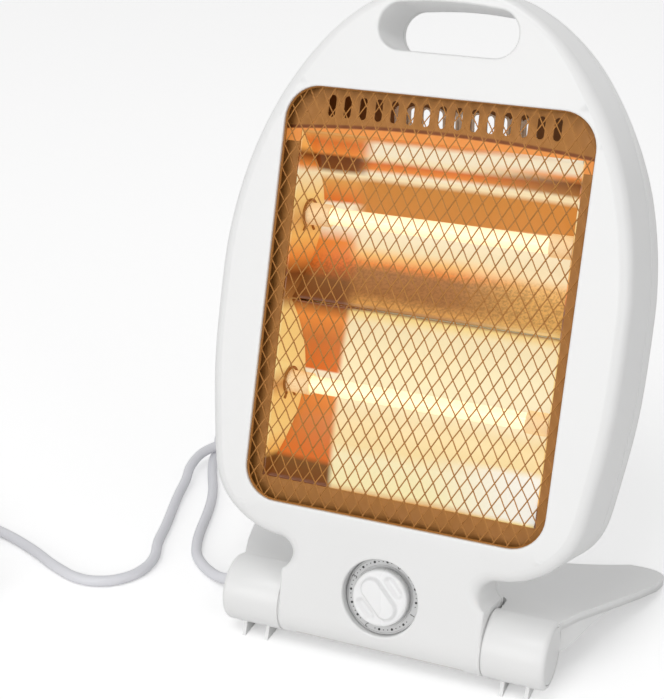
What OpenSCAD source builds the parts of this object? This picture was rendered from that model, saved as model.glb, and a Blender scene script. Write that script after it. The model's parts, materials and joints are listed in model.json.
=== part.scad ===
// Twin-tube halogen heater: an egg-shaped housing with a carrying slot, tilting on a
// round barrel between the two drums of a flared floor stand.
// Millimetres, +X to the right, +Y to the back, +Z up. The floor is z = 0 and the origin
// is the middle of the heater's footprint, cord left out.

/* [Tilt] */
// Backward lean of the housing at rest, in degrees
lean = 18; // [0:1:25]
// Height of the tilt axle above the floor
axle_z = 26; // [24:0.5:32]
// Radius of the barrel and of the two drums
barrel_r = 20; // [19:0.5:22]
// Length of the barrel
barrel_len = 124; // [116:1:130]
// Running gap between barrel and drum
drum_gap = 0.8; // [0.6:0.1:1.5]
// Length of each drum
drum_len = 37.2; // [30:0.2:45]
// Radius of the pivot bolts
pivot_r = 5; // [3.5:0.5:6]
// Radial running clearance of axles and shafts
run_gap = 0.05; // [0.02:0.01:0.08]

/* [Housing] */
// Greatest half width of the front face outline
egg_half_w = 120.5; // [116:0.5:126]
// Height of the widest line above the axle
egg_mid_z = 187; // [183:1:191]
// Rise of the outline above the widest line
egg_rise = 179; // [175:1:186]
// Radius of the long, slightly bowed sides
side_r = 400; // [300:10:600]
// Radius of the lower corners
corner_r = 50; // [44:1:52]
// Height of the housing's lower edge above the axle
foot_z = 40.5; // [40:0.5:42]
// Distance of the front face ahead of the axle
face_y = 26.5; // [25:0.5:30]
// Depth of the front shell, face to parting line
front_depth = 42; // [40:1:45]
// Depth of the whole housing at its middle
body_depth = 64; // [62:1:70]
// Depth of the rear cover at the handle
top_depth = 7; // [6:1:12]
// Widening of the outline at the parting line
flare = 3; // [1:0.5:4]
// Wall of the moulded shells
wall = 2.4; // [2:0.1:3]
// Half width of the neck between the notches
neck_half_w = 57; // [54:0.5:59]
// Radius of the two notches beside the neck
notch_r = 10; // [8:0.5:11]

/* [Window] */
// Width of the window
window_w = 180; // [170:1:182]
// Height of the window
window_h = 240; // [230:1:242]
// Corner radius of the window
window_r = 20; // [16:1:26]
// Height of the window centre above the axle
window_z = 182; // [180:1:184]
// Width of one diamond of the mesh
mesh_w = 7.8; // [7:0.1:12]
// Height of one diamond of the mesh
mesh_h = 13.2; // [12:0.1:22]
// Thickness of the mesh wire
mesh_wire = 0.9; // [0.7:0.1:1.2]

/* [Handle] */
// Width of the hand slot
slot_w = 80; // [70:1:88]
// Height of the hand slot
slot_h = 28; // [24:1:30]
// Height of the slot centre above the axle
slot_z = 340; // [338:1:342]

/* [Reflector] */
// Thickness of the reflector sheets
sheet = 0.8; // [0.5:0.1:1.2]
// Depth of the flange plane behind the front face
flange_y = 10.2; // [9:0.1:12]
// Half width of the reflector at the flange
trough_half_w = 83; // [80:0.5:84]
// Depth of each trough's back behind the front face
trough_y = 48; // [44:1:50]
// Depth of the ridge between the troughs behind the front face
ridge_y = 20; // [18:1:24]
// Number of slots in the top strip
strip_slots = 15; // [12:1:17]
// Spacing of the slots in the top strip
strip_pitch = 9.4; // [8:0.1:9.6]

/* [Tubes] */
// Height of the tubes above and below the ridge
tube_off = 50; // [46:1:52]
// Depth of the tube axes behind the front face
tube_y = 30; // [28:1:32]
// Radius of the quartz tubes
tube_r = 5; // [4:0.5:6]
// Wall of the quartz tubes
tube_wall = 1; // [0.8:0.1:1.2]
// Half length of the quartz tubes
tube_half = 74; // [70:1:76]
// Radius of the ceramic end caps
cap_r = 6.6; // [6.2:0.1:7.5]
// Curls of each filament
curls = 24; // [16:1:24]

/* [Dial] */
// Height of the dial centre above the axle
dial_z = 17.4; // [16:0.1:19]
// Radius of the dial recess
recess_r = 23; // [22:0.5:24]
// Depth of the recess floor ahead of the axle
recess_y = 13.5; // [12.5:0.1:14.5]
// Thickness of the scale ring
ring_t = 1.2; // [0.8:0.1:1.6]
// Radius of the knob
knob_r = 16.5; // [15:0.5:18]
// Height of the knob's skirt
knob_h = 7.2; // [6:0.2:9]
// Radius of the switch shaft
shaft_r = 3; // [2.5:0.5:4]

/* [Stand] */
// Downward slope of the foot plate, in degrees
plate_slope = 16; // [15.5:0.1:16.5]
// Thickness of the foot plate
plate_t = 3; // [2.5:0.1:3.5]
// Depth of the plate's edge skirt below its top
skirt = 5.2; // [4.6:0.1:6]
// Radius of the two rear toes
toe_r = 16; // [12:1:20]
// Sideways distance of the toe centres
toe_x = 120; // [110:1:126]
// Distance of the toe centres behind the axle, along the plate
toe_s = 135.5; // [134:0.5:138]
// Thickness of the front feet
fin_t = 2.2; // [1.8:0.1:3]

/* [Cord] */
// Diameter of the mains cord
cord_d = 7; // [6:0.5:7]
// Turns of the put-away coil
cord_turns = 4.5; // [3.5:1:5.5]

/* [Hidden] */
$fn = 72;
gap = 0.1;

// places in the housing's own frame: origin on the axle, y behind it, z along the face
y_front = -face_y;
y_part = front_depth - face_y;
y_back = body_depth - face_y;
barrel_half = barrel_len / 2;
drum_in = barrel_half + drum_gap;
drum_out = drum_in + drum_len - drum_gap;
flange_at = y_front + flange_y;
tube_at = y_front + tube_y;
tube_high = window_z - 3 + tube_off;
tube_low = window_z - 3 - tube_off;
ridge_z = window_z - 3;
trough_top = window_z + 95;
trough_foot = window_z - 108;
end_splay = 0.1;
shield_y = y_front + trough_y + sheet + 4;
cover_bosses = [[110.5, window_z + 15], [108.5, window_z - 72], [52, window_z + 148]];
frame_bosses = [[98.5, window_z + 45], [98.5, window_z - 60]];
boss_r = 4;
frame_boss_r = 3;
pilot_r = 1.4;
screw_r = pilot_r - run_gap;
ring_y = -recess_y - ring_t;
knob_back = ring_y - 0.3;
knob_front = knob_back - knob_h;
switch_front = -recess_y + wall;
switch_half = 13;
switch_deep = 20;
drop_x = 36;
drop_z = 66;

// the knob's grip bar, a slot shape turned from upright
grip_turn = 45;
grip_w = 9.2;
grip_long = 26;
grip_front = knob_front - 3.5;
// the plate's top sits just below the top of the drums
plate_top = barrel_r - 0.15;
// the front and the rear of the heater, behind the axle, and the middle between them
grip_low = dial_z - (grip_long - grip_w) / 2 * cos(grip_turn) - grip_w / 2;
reach_front = grip_front * cos(lean) + grip_low * sin(lean);
reach_back = (toe_s + toe_r) * cos(plate_slope) + plate_top * sin(plate_slope);
origin_y = (reach_front + reach_back) / 2;

// ---------- helpers ----------
module on_axle() { translate([0, -origin_y, axle_z]) children(); }
module in_housing() { on_axle() rotate([-lean, 0, 0]) children(); }
module in_plate() { on_axle() rotate([-plate_slope, 0, 0]) children(); }
// a flat outline drawn in x and z, thickened backward from y
module sheet_at(y, t) { translate([0, y + t, 0]) rotate([90, 0, 0]) linear_extrude(t) children(); }
// a profile drawn in y and z, drawn out along x from -half to half
module across(half) {
    rotate([90, 0, 90]) translate([0, 0, -half]) linear_extrude(2 * half) children();
}
module rod_y(x, z, y0, y1, r) { translate([x, y0, z]) rotate([-90, 0, 0]) cylinder(h = y1 - y0, r = r); }
module rod_x(x0, x1, r) { translate([x0, 0, 0]) rotate([0, 90, 0]) cylinder(h = x1 - x0, r = r); }
module both_sides() { children(); mirror([1, 0, 0]) children(); }

// a slot outline with half-round ends, w wide and h high
module oblong(w, h) {
    square([w, h - w], center = true);
    for (k = [-1, 1]) translate([0, k * (h - w) / 2]) circle(d = w, $fn = 24);
}

function unit(v) = v / norm(v);
function heading(p, i) = unit(p[min(i + 1, len(p) - 1)] - p[max(i - 1, 0)]);
function hoop(p, i, r, n, up, turn) =
    let(t = heading(p, i), u = unit(cross(t, up)), w = cross(u, t))
    [for (k = [0:n - 1]) let(a = 360 * (k + turn) / n) p[i] + r * (cos(a) * u + sin(a) * w)];
// a tube of n sides swept along the points p; up is never along the path, and turn is
// the share of a side that the first corner is turned by
module tube_along(p, r, n, up, turn = 0.5) {
    last = len(p) - 1;
    polyhedron(
        points = [for (i = [0:last]) each hoop(p, i, r, n, up, turn)],
        faces = concat(
            [for (k = [1:n - 2]) [0, k + 1, k]],
            [for (i = [0:last - 1]) for (k = [0:n - 1]) let(a = i * n + k, b = i * n + (k + 1) % n)
                each [[a, b, b + n], [a, b + n, a + n]]],
            [for (k = [1:n - 2]) [last * n, last * n + k, last * n + k + 1]]
        ), convexity = 6);
}
// a smooth run through hand-placed points, with one ring between each two
function mid_point(p, i) = let(a = p[max(i - 1, 0)], d = p[min(i + 2, len(p) - 1)])
    (9 * (p[i] + p[i + 1]) - a - d) / 16;
function smoothed(p) = [for (i = [0:len(p) - 1]) each i < len(p) - 1 ? [p[i], mid_point(p, i)] : [p[i]]];

// ---------- housing outline ----------
// the right half of the outline from the top down, widened by g: half an ellipse,
// a long flat arc and a lower corner
rise_steps = 14;
side_steps = 4;
corner_steps = 8;
side_mid = window_z - 15;
corner_at = [63.5, foot_z + corner_r];
function half_egg(g) = concat(
    [for (i = [0:rise_steps]) let(t = 90 - 88 * i / rise_steps)
        [(egg_half_w + g) * cos(t), egg_mid_z + (egg_rise + g) * sin(t)]],
    [for (i = [0:side_steps]) let(t = -11 * i / side_steps)
        [egg_half_w - side_r + (side_r + g) * cos(t), side_mid + (side_r + g) * sin(t)]],
    [for (i = [1:corner_steps]) let(t = -15 - 75 * i / corner_steps)
        corner_at + (corner_r + g) * [cos(t), sin(t)]]);
half_count = rise_steps + side_steps + corner_steps + 2;
function egg(g) = let(h = half_egg(g)) concat(h,
    [for (i = [half_count - 1:-1:1]) [-h[i][0], h[i][1]]]);
// how much of the rear cover's depth there is at height z: less at the handle and at
// the foot, where the back slopes in to the neck
function ease(a, b, x) = let(t = min(1, max(0, (x - a) / (b - a)))) t * t * (3 - 2 * t);
full_rear = body_depth - front_depth;
function rear_at(z) = full_rear
    - (full_rear - top_depth) * ease(window_z + 78, slot_z - slot_h / 2 - 4, z)
    - (full_rear - 6) * (1 - ease(foot_z, foot_z + 24, z));
// a closed shell lofted through outlines; each step is [share of the depth, widening,
// extra depth], start_y and the depth function place it along y
module egg_loft(steps, start_y, flat) {
    n = 2 * half_count - 1;
    last = len(steps) - 1;
    polyhedron(
        points = [for (s = steps) for (q = egg(s[1]))
            [q[0], start_y + s[0] * (flat ? front_depth : rear_at(q[1])) + s[2], q[1]]],
        faces = concat(
            [for (i = [0:last - 1]) for (k = [0:n - 1]) let(a = i * n + k, b = i * n + (k + 1) % n)
                each [[a, a + n, b], [b, a + n, b + n]]],
            [for (k = [0:half_count - 2]) let(l0 = (n - k) % n, l1 = n - k - 1)
                each (k == 0 ? [[0, 1, l1]] : [[k, k + 1, l0], [k + 1, l1, l0]])],
            [for (k = [0:half_count - 2]) let(l0 = (n - k) % n, l1 = n - k - 1, e = last * n)
                each (k == 0 ? [[e, e + l1, e + 1]]
                    : [[e + k, e + l0, e + k + 1], [e + k + 1, e + l0, e + l1]])]
        ), convexity = 4);
}
front_steps = [[0, -7, 0], [0.03, -4.2, 0], [0.09, -1.6, 0], [0.19, 0, 0], [1, flare, 0]];
// how far inside the outline the flat of the front shell's inner face ends
front_in = 7.4;
front_hollow = [[0, -front_in, wall], [0.1, -4, 0.7], [0.22, -wall, 0], [1, flare - wall, 0.5]];
rear_steps = [[0, flare, 0], [0.6, flare + 1, 0], [0.84, flare - 1, 0], [1, flare - 6, 0]];
rear_hollow = [[0, flare - wall, -0.5], [0.6, flare + 1 - wall, -1], [1, flare - 6 - wall, -wall]];

module round_rect(w, h, r, z) {
    translate([0, z]) {
        square([w - 2 * r, h], center = true);
        square([w, h - 2 * r], center = true);
        for (x = [-1, 1], y = [-1, 1]) translate([x * (w / 2 - r), y * (h / 2 - r)]) circle(r = r);
    }
}
module window_shape(grow) { round_rect(window_w + 2 * grow, window_h + 2 * grow, window_r + grow, window_z); }
// a slot with half-round ends and a slightly arched top
module slot_shape(grow) {
    r = slot_h / 2 + grow;
    arch = 400;
    translate([0, slot_z]) {
        square([slot_w - slot_h, 2 * r - 2], center = true);
        for (x = [-1, 1]) translate([x * (slot_w - slot_h) / 2, -1]) circle(r = r - 1);
        intersection() {
            square([slot_w - slot_h, 4 * r], center = true);
            translate([0, r - arch]) circle(r = arch, $fn = 360);
            translate([0, r]) square([slot_w, 10], center = true);
        }
    }
}
// side view of the neck and barrel, t inside the outer skin: the front runs tangent to
// the barrel and the back is upright
neck_top = foot_z + 9;
module neck_side(t) {
    r = barrel_r - t;
    inset = r - 0.1;
    p = [y_front + 1 + t, neck_top + t];
    a = atan2(p[1], p[0]) + acos(r / norm(p));
    polygon([[0, 0], [inset * cos(a), inset * sin(a)], p, [inset, neck_top + t], [inset, 0]]);
}
// front view of the neck with its two round notches, t inside the outer skin: below
// the notches it is as wide as the barrel
notch_x = neck_half_w + notch_r;
notch_z = foot_z + 0.5 - notch_r;
module neck_front(t) {
    low = -barrel_r - 5;
    difference() {
        union() {
            translate([-notch_x, notch_z]) square([2 * notch_x, neck_top + t - notch_z]);
            translate([-barrel_half + t, low]) square([2 * (barrel_half - t), notch_z + 1 - low]);
        }
        for (m = [0, 1]) mirror([m, 0]) translate([notch_x, notch_z]) circle(r = notch_r + t);
    }
}
module neck_solid(t) {
    intersection() {
        across(notch_x - 0.5) neck_side(t);
        sheet_at(-face_y - 1, face_y + barrel_r + 2) neck_front(t);
    }
}
module barrel_solid(t, over) { rod_x(-barrel_half - over, barrel_half + over, barrel_r - t); }
module front_half() { translate([-150, -100, -50]) cube([300, 100 + y_part, 200]); }
module rear_half() { translate([-150, y_part, -50]) cube([300, 100, 200]); }

// ---------- housing ----------
module neck_and_barrel() { neck_solid(0); barrel_solid(0, 0); }
module front_shell() color("white") in_housing() difference() {
    union() { egg_loft(front_steps, y_front, true); intersection() { neck_and_barrel(); front_half(); } }
    // the hollow inside, which leaves the dial's cup, the slot's wall and the bosses
    difference() {
        union() { egg_loft(front_hollow, y_front, true); neck_solid(wall); barrel_solid(wall, 1); }
        rod_y(0, dial_z, -face_y - 1, -recess_y + wall, recess_r + wall);
        sheet_at(y_front - 1, front_depth + 3) slot_shape(wall);
        for (b = cover_bosses) both_sides() rod_y(b[0], b[1], y_front - 1, y_part + 2, boss_r);
        for (b = frame_bosses) both_sides() rod_y(b[0], b[1], y_front - 1, flange_at, frame_boss_r);
    }
    sheet_at(y_front - 1, 8) window_shape(0);
    sheet_at(y_front - 1, front_depth + 4) slot_shape(0);
    rod_y(0, dial_z, -face_y - 5, -recess_y, recess_r);
    rod_y(0, dial_z, -face_y, -recess_y + wall + 1, shaft_r + 2);
    for (b = cover_bosses) both_sides() rod_y(b[0], b[1], y_part - 14, y_part + 1, pilot_r);
    for (b = frame_bosses) both_sides() rod_y(b[0], b[1], flange_at - 6, flange_at + 1, pilot_r);
}

vent_w = 4.4;
vent_pitch = 10;
// the short row under the handle has narrower bars
top_pitch = 7.8;
module vent_row(z, tall, count, pitch = vent_pitch) {
    for (i = [0:count - 1]) translate([(i - (count - 1) / 2) * pitch, z]) oblong(vent_w, tall);
}
module rear_cover() color("white") in_housing() difference() {
    union() { egg_loft(rear_steps, y_part, false); intersection() { neck_and_barrel(); rear_half(); } }
    difference() {
        union() { egg_loft(rear_hollow, y_part, false); neck_solid(wall); barrel_solid(wall, 1); }
        sheet_at(y_part - 2, y_back) slot_shape(wall);
        for (b = cover_bosses) both_sides() rod_y(b[0], b[1], y_part - 2, y_back, boss_r);
    }
    sheet_at(y_part - 2, y_back) slot_shape(0);
    sheet_at(y_back - 16, 20) {
        vent_row(window_z + 105, 20, 11, top_pitch);
        vent_row(window_z + 58, 26, 17);
        vent_row(window_z - 62, 26, 17);
        vent_row(window_z - 96, 26, 15);
    }
    for (b = cover_bosses) both_sides() {
        rod_y(b[0], b[1], y_part - 1, y_back + 1, pilot_r + 0.3);
        rod_y(b[0], b[1], y_part + rear_at(b[1]) - 5, y_back + 1, boss_r - 1);
    }
}

module hinge_plate() {
    x1 = barrel_half - 0.2;
    difference() {
        rod_x(x1 - 3, x1, barrel_r - wall - gap);
        rod_x(x1 - 4, x1 + 1, pivot_r + run_gap);
    }
}
module hinge_plate_right() color("silver") in_housing() hinge_plate();
module hinge_plate_left() color("silver") in_housing() mirror([1, 0, 0]) hinge_plate();

// ---------- mesh ----------
mesh_edge = 4;
grille_y = y_front + wall + gap;
module grille_area(grow) {
    intersection() { window_shape(mesh_edge + grow); polygon(egg(-front_in - 0.4)); }
}
module grille_wires(side, y) {
    angle = atan(mesh_w / mesh_h);
    spacing = mesh_w * cos(angle);
    reach = window_w / 2 * cos(angle) + window_h / 2 * sin(angle);
    count = floor(reach / spacing) + 1;
    intersection() {
        sheet_at(y, mesh_wire) grille_area(-1);
        translate([0, y + mesh_wire / 2, window_z]) rotate([0, side * angle, 0])
            for (i = [-count:count]) translate([i * spacing, 0, 0])
                cube([mesh_wire, mesh_wire - 0.02, 1.5 * window_h], center = true);
    }
}
module grille() color("peru") in_housing() {
    sheet_at(grille_y, 2 * mesh_wire + 0.6) difference() { grille_area(0); grille_area(1 - mesh_edge); }
    grille_wires(1, grille_y + 0.2);
    grille_wires(-1, grille_y + 0.4 + mesh_wire);
}

// ---------- reflector ----------
// depth of the reflector's curve at height z: two parabolas that meet in the ridge
function trough_depth(z) =
    let(top = z > ridge_z, mid = top ? tube_high : tube_low,
        toward_ridge = top ? z < mid : z > mid,
        edge = toward_ridge ? ridge_y : flange_y,
        run = toward_ridge ? abs(ridge_z - mid) : (top ? trough_top - mid : mid - trough_foot))
    y_front + trough_y - (trough_y - edge) * pow((z - mid) / run, 2);
trough_steps = 18;
function trough_line(z0, z1, off) = [for (i = [0:trough_steps])
    let(z = z0 + (z1 - z0) * i / trough_steps) [trough_depth(z) + off, z]];
function reversed(p) = [for (i = [len(p) - 1:-1:0]) p[i]];
module trough_side(z0, z1) { polygon(concat(trough_line(z0, z1, 0), reversed(trough_line(z0, z1, sheet)))); }
// plan of the reflector between its two splayed ends, drawn in x and y
module reflector_plan(shrink, start = 0) {
    deep = trough_y + 2 - flange_y;
    h0 = trough_half_w - shrink;
    h1 = h0 - end_splay * deep;
    near = flange_at + start;
    edge = h0 - end_splay * start;
    linear_extrude(500)
        polygon([[-edge, near], [edge, near], [h1, flange_at + deep], [-h1, flange_at + deep]]);
}
module trough(z0, z1) {
    intersection() { across(trough_half_w) trough_side(z0, z1); reflector_plan(sheet + gap); }
}
module reflector_upper() color("gold") in_housing() trough(ridge_z + 0.4, trough_top);
module reflector_lower() color("gold") in_housing() trough(trough_foot, ridge_z - 0.4);
module reflector_end() {
    difference() {
        intersection() {
            across(trough_half_w) polygon(concat([[flange_at - 5, trough_top], [flange_at - 5, trough_foot]],
                trough_line(trough_foot, trough_top, sheet)));
            difference() { reflector_plan(0, sheet + gap); reflector_plan(sheet); }
            translate([0, -100, 0]) cube([200, 300, 500]);
        }
        for (z = [tube_high, tube_low]) translate([0, tube_at, z]) rod_x(0, 100, cap_r + 0.3);
    }
}
module reflector_end_right() color("goldenrod") in_housing() reflector_end();
module reflector_end_left() color("goldenrod") in_housing() mirror([1, 0, 0]) reflector_end();

module frame_area() {
    intersection() { round_rect(206, window_h + 14, window_r + 6, window_z); polygon(egg(-wall - 1.5)); }
}
module reflector_frame() color("peru") in_housing() difference() {
    sheet_at(flange_at, sheet) difference() {
        frame_area();
        translate([-trough_half_w, trough_foot]) square([2 * trough_half_w, trough_top - trough_foot]);
        for (i = [0:strip_slots - 1])
            translate([(i - (strip_slots - 1) / 2) * strip_pitch, trough_top + 15]) oblong(4.3, 12.5);
        for (b = cover_bosses) for (s = [-1, 1]) translate([s * b[0], b[1]]) circle(r = boss_r + 0.5);
    }
    for (b = frame_bosses) both_sides() rod_y(b[0], b[1], flange_at - 1, flange_at + 2, pilot_r + 0.2);
}
module frame_screws() color("silver") in_housing() for (b = frame_bosses) both_sides() {
    rod_y(b[0], b[1], flange_at - 5, flange_at + sheet + 0.1, screw_r);
    rod_y(b[0], b[1], flange_at + sheet, flange_at + sheet + 1.6, 2.6);
}
module cover_screws() color("silver") in_housing() for (b = cover_bosses) both_sides() {
    seat = y_part + rear_at(b[1]) - 5;
    rod_y(b[0], b[1], y_part - 12, seat + 0.1, screw_r);
    rod_y(b[0], b[1], seat, seat + 2, 2.7);
}
module heat_shield() color("lightgray") in_housing() {
    sheet_at(shield_y, sheet) round_rect(170, 190, 6, window_z - 8);
    // folded legs that carry the sheet on the troughs
    for (z = [tube_high, tube_low]) translate([-60, shield_y - 4 + 0.1, z - 6]) cube([120, 4, sheet]);
}

// ---------- tubes ----------
module quartz_tube(z) translate([0, tube_at, z]) difference() {
    rod_x(-tube_half, tube_half, tube_r);
    rod_x(-tube_half - 1, tube_half + 1, tube_r - tube_wall);
}
module quartz_tube_upper() color("ivory", 0.5) in_housing() quartz_tube(tube_high);
module quartz_tube_lower() color("ivory", 0.5) in_housing() quartz_tube(tube_low);
curl_rings = 8;
curl_r = 2.2;
curl_wire = 0.35;
coil_half = tube_half - 10;
function filament_line() = concat(
    [[-coil_half - 5, 0, curl_r], [-coil_half - 3, 0, curl_r]],
    [for (i = [0:curls * curl_rings]) let(a = 360 * i / curl_rings)
        [-coil_half + 2 * coil_half * i / (curls * curl_rings), curl_r * sin(a), curl_r * cos(a)]],
    [[coil_half + 3, 0, curl_r], [coil_half + 5, 0, curl_r]]);
module filament(z) translate([0, tube_at, z]) tube_along(filament_line(), curl_wire, 6, [1, 0.01, 0.02]);
module filament_upper() color("orange") in_housing() filament(tube_high);
module filament_lower() color("orange") in_housing() filament(tube_low);
cap_in = 66;
cap_out = 91;
module tube_cap(z) translate([0, tube_at, z]) difference() {
    union() { rod_x(cap_in, cap_out - 4, cap_r); rod_x(cap_out - 4, cap_out, cap_r - 1.6); }
    rod_x(cap_in - 1, tube_half + 0.3, tube_r + 0.1);
}
module cap_pin(z) translate([0, tube_at, z + curl_r]) rod_x(coil_half + 5, tube_half + 4, 0.8);
module tube_caps_upper() color("beige") in_housing() both_sides() { tube_cap(tube_high); cap_pin(tube_high); }
module tube_caps_lower() color("beige") in_housing() both_sides() { tube_cap(tube_low); cap_pin(tube_low); }
bracket_x = 85;
module tube_bracket() {
    low = trough_foot + 12;
    high = trough_top - 12;
    difference() {
        translate([bracket_x, flange_at + sheet + gap, low]) {
            cube([sheet, tube_y - flange_y + 12, high - low]);
            cube([8, sheet, high - low]);
        }
        for (z = [tube_high, tube_low]) translate([0, tube_at, z]) rod_x(0, 100, cap_r + run_gap);
    }
}
module tube_bracket_right() color("silver") in_housing() tube_bracket();
module tube_bracket_left() color("silver") in_housing() mirror([1, 0, 0]) tube_bracket();

// ---------- dial and switches ----------
module dial_ring() color("silver") in_housing() difference() {
    rod_y(0, dial_z, ring_y, ring_y + ring_t, recess_r - 0.3);
    rod_y(0, dial_z, ring_y - 1, ring_y + ring_t + 1, shaft_r + 2);
}
module knob() color("white") in_housing() translate([0, 0, dial_z]) difference() {
    union() {
        translate([0, knob_back, 0]) rotate([90, 0, 0]) cylinder(h = knob_h - 1.5, r = knob_r);
        translate([0, knob_front + 1.5, 0]) rotate([90, 0, 0]) cylinder(h = 1.5, r1 = knob_r, r2 = knob_r - 1.5);
        // raised grip bar with round ends
        translate([0, knob_front + 0.5, 0]) rotate([90, 0, 0]) rotate([0, 0, grip_turn])
            linear_extrude(knob_front + 0.5 - grip_front) oblong(grip_w, grip_long);
    }
    // finger scoops on both sides of the bar
    rotate([90, 0, 0]) rotate([0, 0, grip_turn]) for (k = [-1, 1])
        translate([k * 9.2, 0, -knob_front - 3.4]) linear_extrude(8) oblong(7.6, 16);
    translate([0, knob_front + 2, 0]) rotate([-90, 0, 0]) cylinder(h = 20, r = shaft_r);
}
module switch_shaft() color("dimgray") in_housing()
    rod_y(0, dial_z, knob_front + 2, switch_front + 8, shaft_r);
module rotary_switch() color("dimgray") in_housing() difference() {
    union() {
        translate([-switch_half, switch_front, dial_z - switch_half])
            cube([2 * switch_half, switch_deep, 2 * switch_half]);
        for (x = [-8, 0, 8])
            translate([x - 1.5, switch_front + switch_deep - 0.5, dial_z + 4]) cube([3, 6, 0.8]);
    }
    rod_y(0, dial_z, switch_front - 1, switch_front + 8.2, shaft_r + run_gap);
}

// a pendulum that hangs plumb and opens a microswitch when the heater falls over
pin_r = 1.5;
bob_r = 5;
bob_drop = 20;
ear_gap = 9;
module at_pendulum() translate([drop_x, 0, drop_z]) children();
module tilt_bracket() color("silver") in_housing() at_pendulum() difference() {
    union() {
        for (x = [-1, 1]) translate([x * (ear_gap / 2 + sheet / 2) - sheet / 2, -6, -5])
            cube([sheet, y_part + 5.5, 10]);
        translate([-ear_gap / 2 - sheet, y_part - 1.3, -5]) cube([ear_gap + 2 * sheet, sheet, 22]);
    }
    rod_x(-10, 10, pin_r + run_gap);
}
module tilt_pendulum() color("dimgray") in_housing() at_pendulum() rotate([lean, 0, 0]) {
    rod_x(-ear_gap / 2 - sheet - 1, ear_gap / 2 + sheet + 1, pin_r);
    translate([-2.5, -1.2, -bob_drop]) cube([5, 2.4, bob_drop]);
    translate([0, 0, -bob_drop - 2]) rod_x(-3.5, 3.5, bob_r);
}
module tilt_microswitch() color("black") in_housing() at_pendulum() {
    translate([ear_gap / 2 + sheet + 1.4, -1, -3]) cube([6, 12, 18]);
    for (y = [3, 7]) translate([ear_gap / 2 + sheet + 3, y, 15]) cube([3, 0.6, 5]);
}
module thermal_cutout() color("silver") in_housing() {
    translate([0, shield_y + sheet + gap, ridge_z]) rotate([-90, 0, 0]) cylinder(h = 4, r = 7.5);
    for (x = [-1, 1]) translate([x * 5 - 1.5, shield_y + sheet + 3, ridge_z + 4]) cube([3, 0.8, 9]);
}
block_x = -40;
block_z = 56;
module terminal_block() color("ivory") in_housing() difference() {
    translate([block_x - 8, y_part - 12.6, block_z - 7]) cube([30, 12, 14]);
    for (i = [0:2]) rod_y(block_x - 2 + i * 9, block_z, y_part - 14, y_part - 6, 2);
}

// ---------- wiring ----------
wire_r = 1.1;
tab_y = switch_front + switch_deep + 5.5 + wire_r;
tab_z = dial_z + 4.4;
// switch to both tubes on the right, terminal block to both on the left, switch to block
// and block to the hollow left bolt
wires = [
    [[8, tab_y, tab_z], [20, 11, 17], [40, 6, 24], [50, 4, 36], [60, 5, 52], [72, 8, 64], [88, 11, 78],
        [97, 11, 100], [98, 8, 116], [96, tube_at, tube_low - 1], [cap_out + 0.2, tube_at, tube_low]],
    [[0, tab_y, tab_z], [14, 13, 12], [38, 10, 19], [53, 9, 36], [63, 10, 50], [75, 13, 61], [90, 16, 78],
        [100, 15, 100], [100, 13, 150], [100, 10, 200], [97, tube_at, tube_high - 2],
        [cap_out + 0.2, tube_at, tube_high]],
    [[block_x - 8.1, 9, block_z], [-60, 9, 56], [-74, 11, 64], [-88, 12, 78], [-96, 10, 102], [-94, 5, 117],
        [-cap_out - wire_r - 0.2, tube_at, tube_low], [-95, 6, 144], [-99, 9, 175], [-96, 6, 212],
        [-cap_out - wire_r - 0.2, tube_at, tube_high]],
    [[-8, tab_y, tab_z], [-17, 12, 31], [-27, 9, 39], [-31, 9, block_z - 7.1]],
    [[-51.5, 0, 0], [-46, 1, 5], [-44, 4, 18], [-44, 7, 32], [-44, 8, block_z - 7.1]]];
module wiring() color("red") in_housing() for (w = wires) tube_along(smoothed(w), wire_r, 6, [0.1, 1, 0.3]);

// ---------- stand ----------
cut_half = barrel_half + 1.5;
cut_s = 28;
plate_side = [[99.5, 9], [103, 20], [108.5, 35], [115.5, 56], [122, 76], [129, 98], [134.5, 119], [136, 135]];
arch_r = 159;
arch_s = 264.2;
// the plate's outline, drawn along the slope, t inside its edge
module plate_shape(t) {
    right = [for (q = plate_side) [q[0] - t, q[1]]];
    left = [for (i = [len(right) - 1:-1:0]) [-right[i][0], right[i][1]]];
    rear = toe_s + toe_r - t - 0.4;
    difference() {
        union() {
            polygon(concat([[99.5 - t, 0]], right, [[toe_x, toe_s], [toe_x - 6, rear], [-toe_x + 6, rear],
                [-toe_x, toe_s]], left, [[-99.5 + t, 0]]));
            for (x = [-1, 1]) translate([x * toe_x, toe_s]) circle(r = toe_r - t);
        }
        translate([0, arch_s]) circle(r = arch_r + t, $fn = 180);
        translate([-cut_half - t, -1]) square([2 * (cut_half + t), cut_s + t + 1]);
    }
}
module drum() {
    corner = 3;
    rotate([0, 90, 0]) rotate_extrude() difference() {
        union() {
            translate([0, drum_in]) square([barrel_r, drum_out - drum_in - corner]);
            translate([0, drum_out - corner - 1]) square([barrel_r - corner, corner + 1]);
            translate([barrel_r - corner, drum_out - corner]) circle(r = corner);
        }
        translate([-1, drum_in + 2.6]) square([barrel_r - wall + 1, drum_len - 7]);
        translate([-1, drum_in + 20]) square([cap_disc_r + gap + 1, drum_len]);
        translate([-1, drum_in - 1]) square([pivot_r + 1, drum_len]);
    }
}
cap_disc_r = barrel_r - 3.4;
module fin(x) {
    translate([x - fin_t / 2, 0, 0]) rotate([90, 0, 90]) linear_extrude(fin_t)
        polygon([[-9, -barrel_r + 3.5], [-13, -axle_z], [11, -axle_z], [13, -barrel_r + 5]]);
}
module gusset() {
    translate([drum_out - 3.2, 0, 0]) rotate([90, 0, 90]) linear_extrude(3) difference() {
        polygon([[barrel_r - 2, -4], [barrel_r - 4, 14], [14, 18], [58, 4.5], [58, 0]]);
        translate([58, -39]) circle(r = 41);
    }
}
boss_y = 27;
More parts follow.
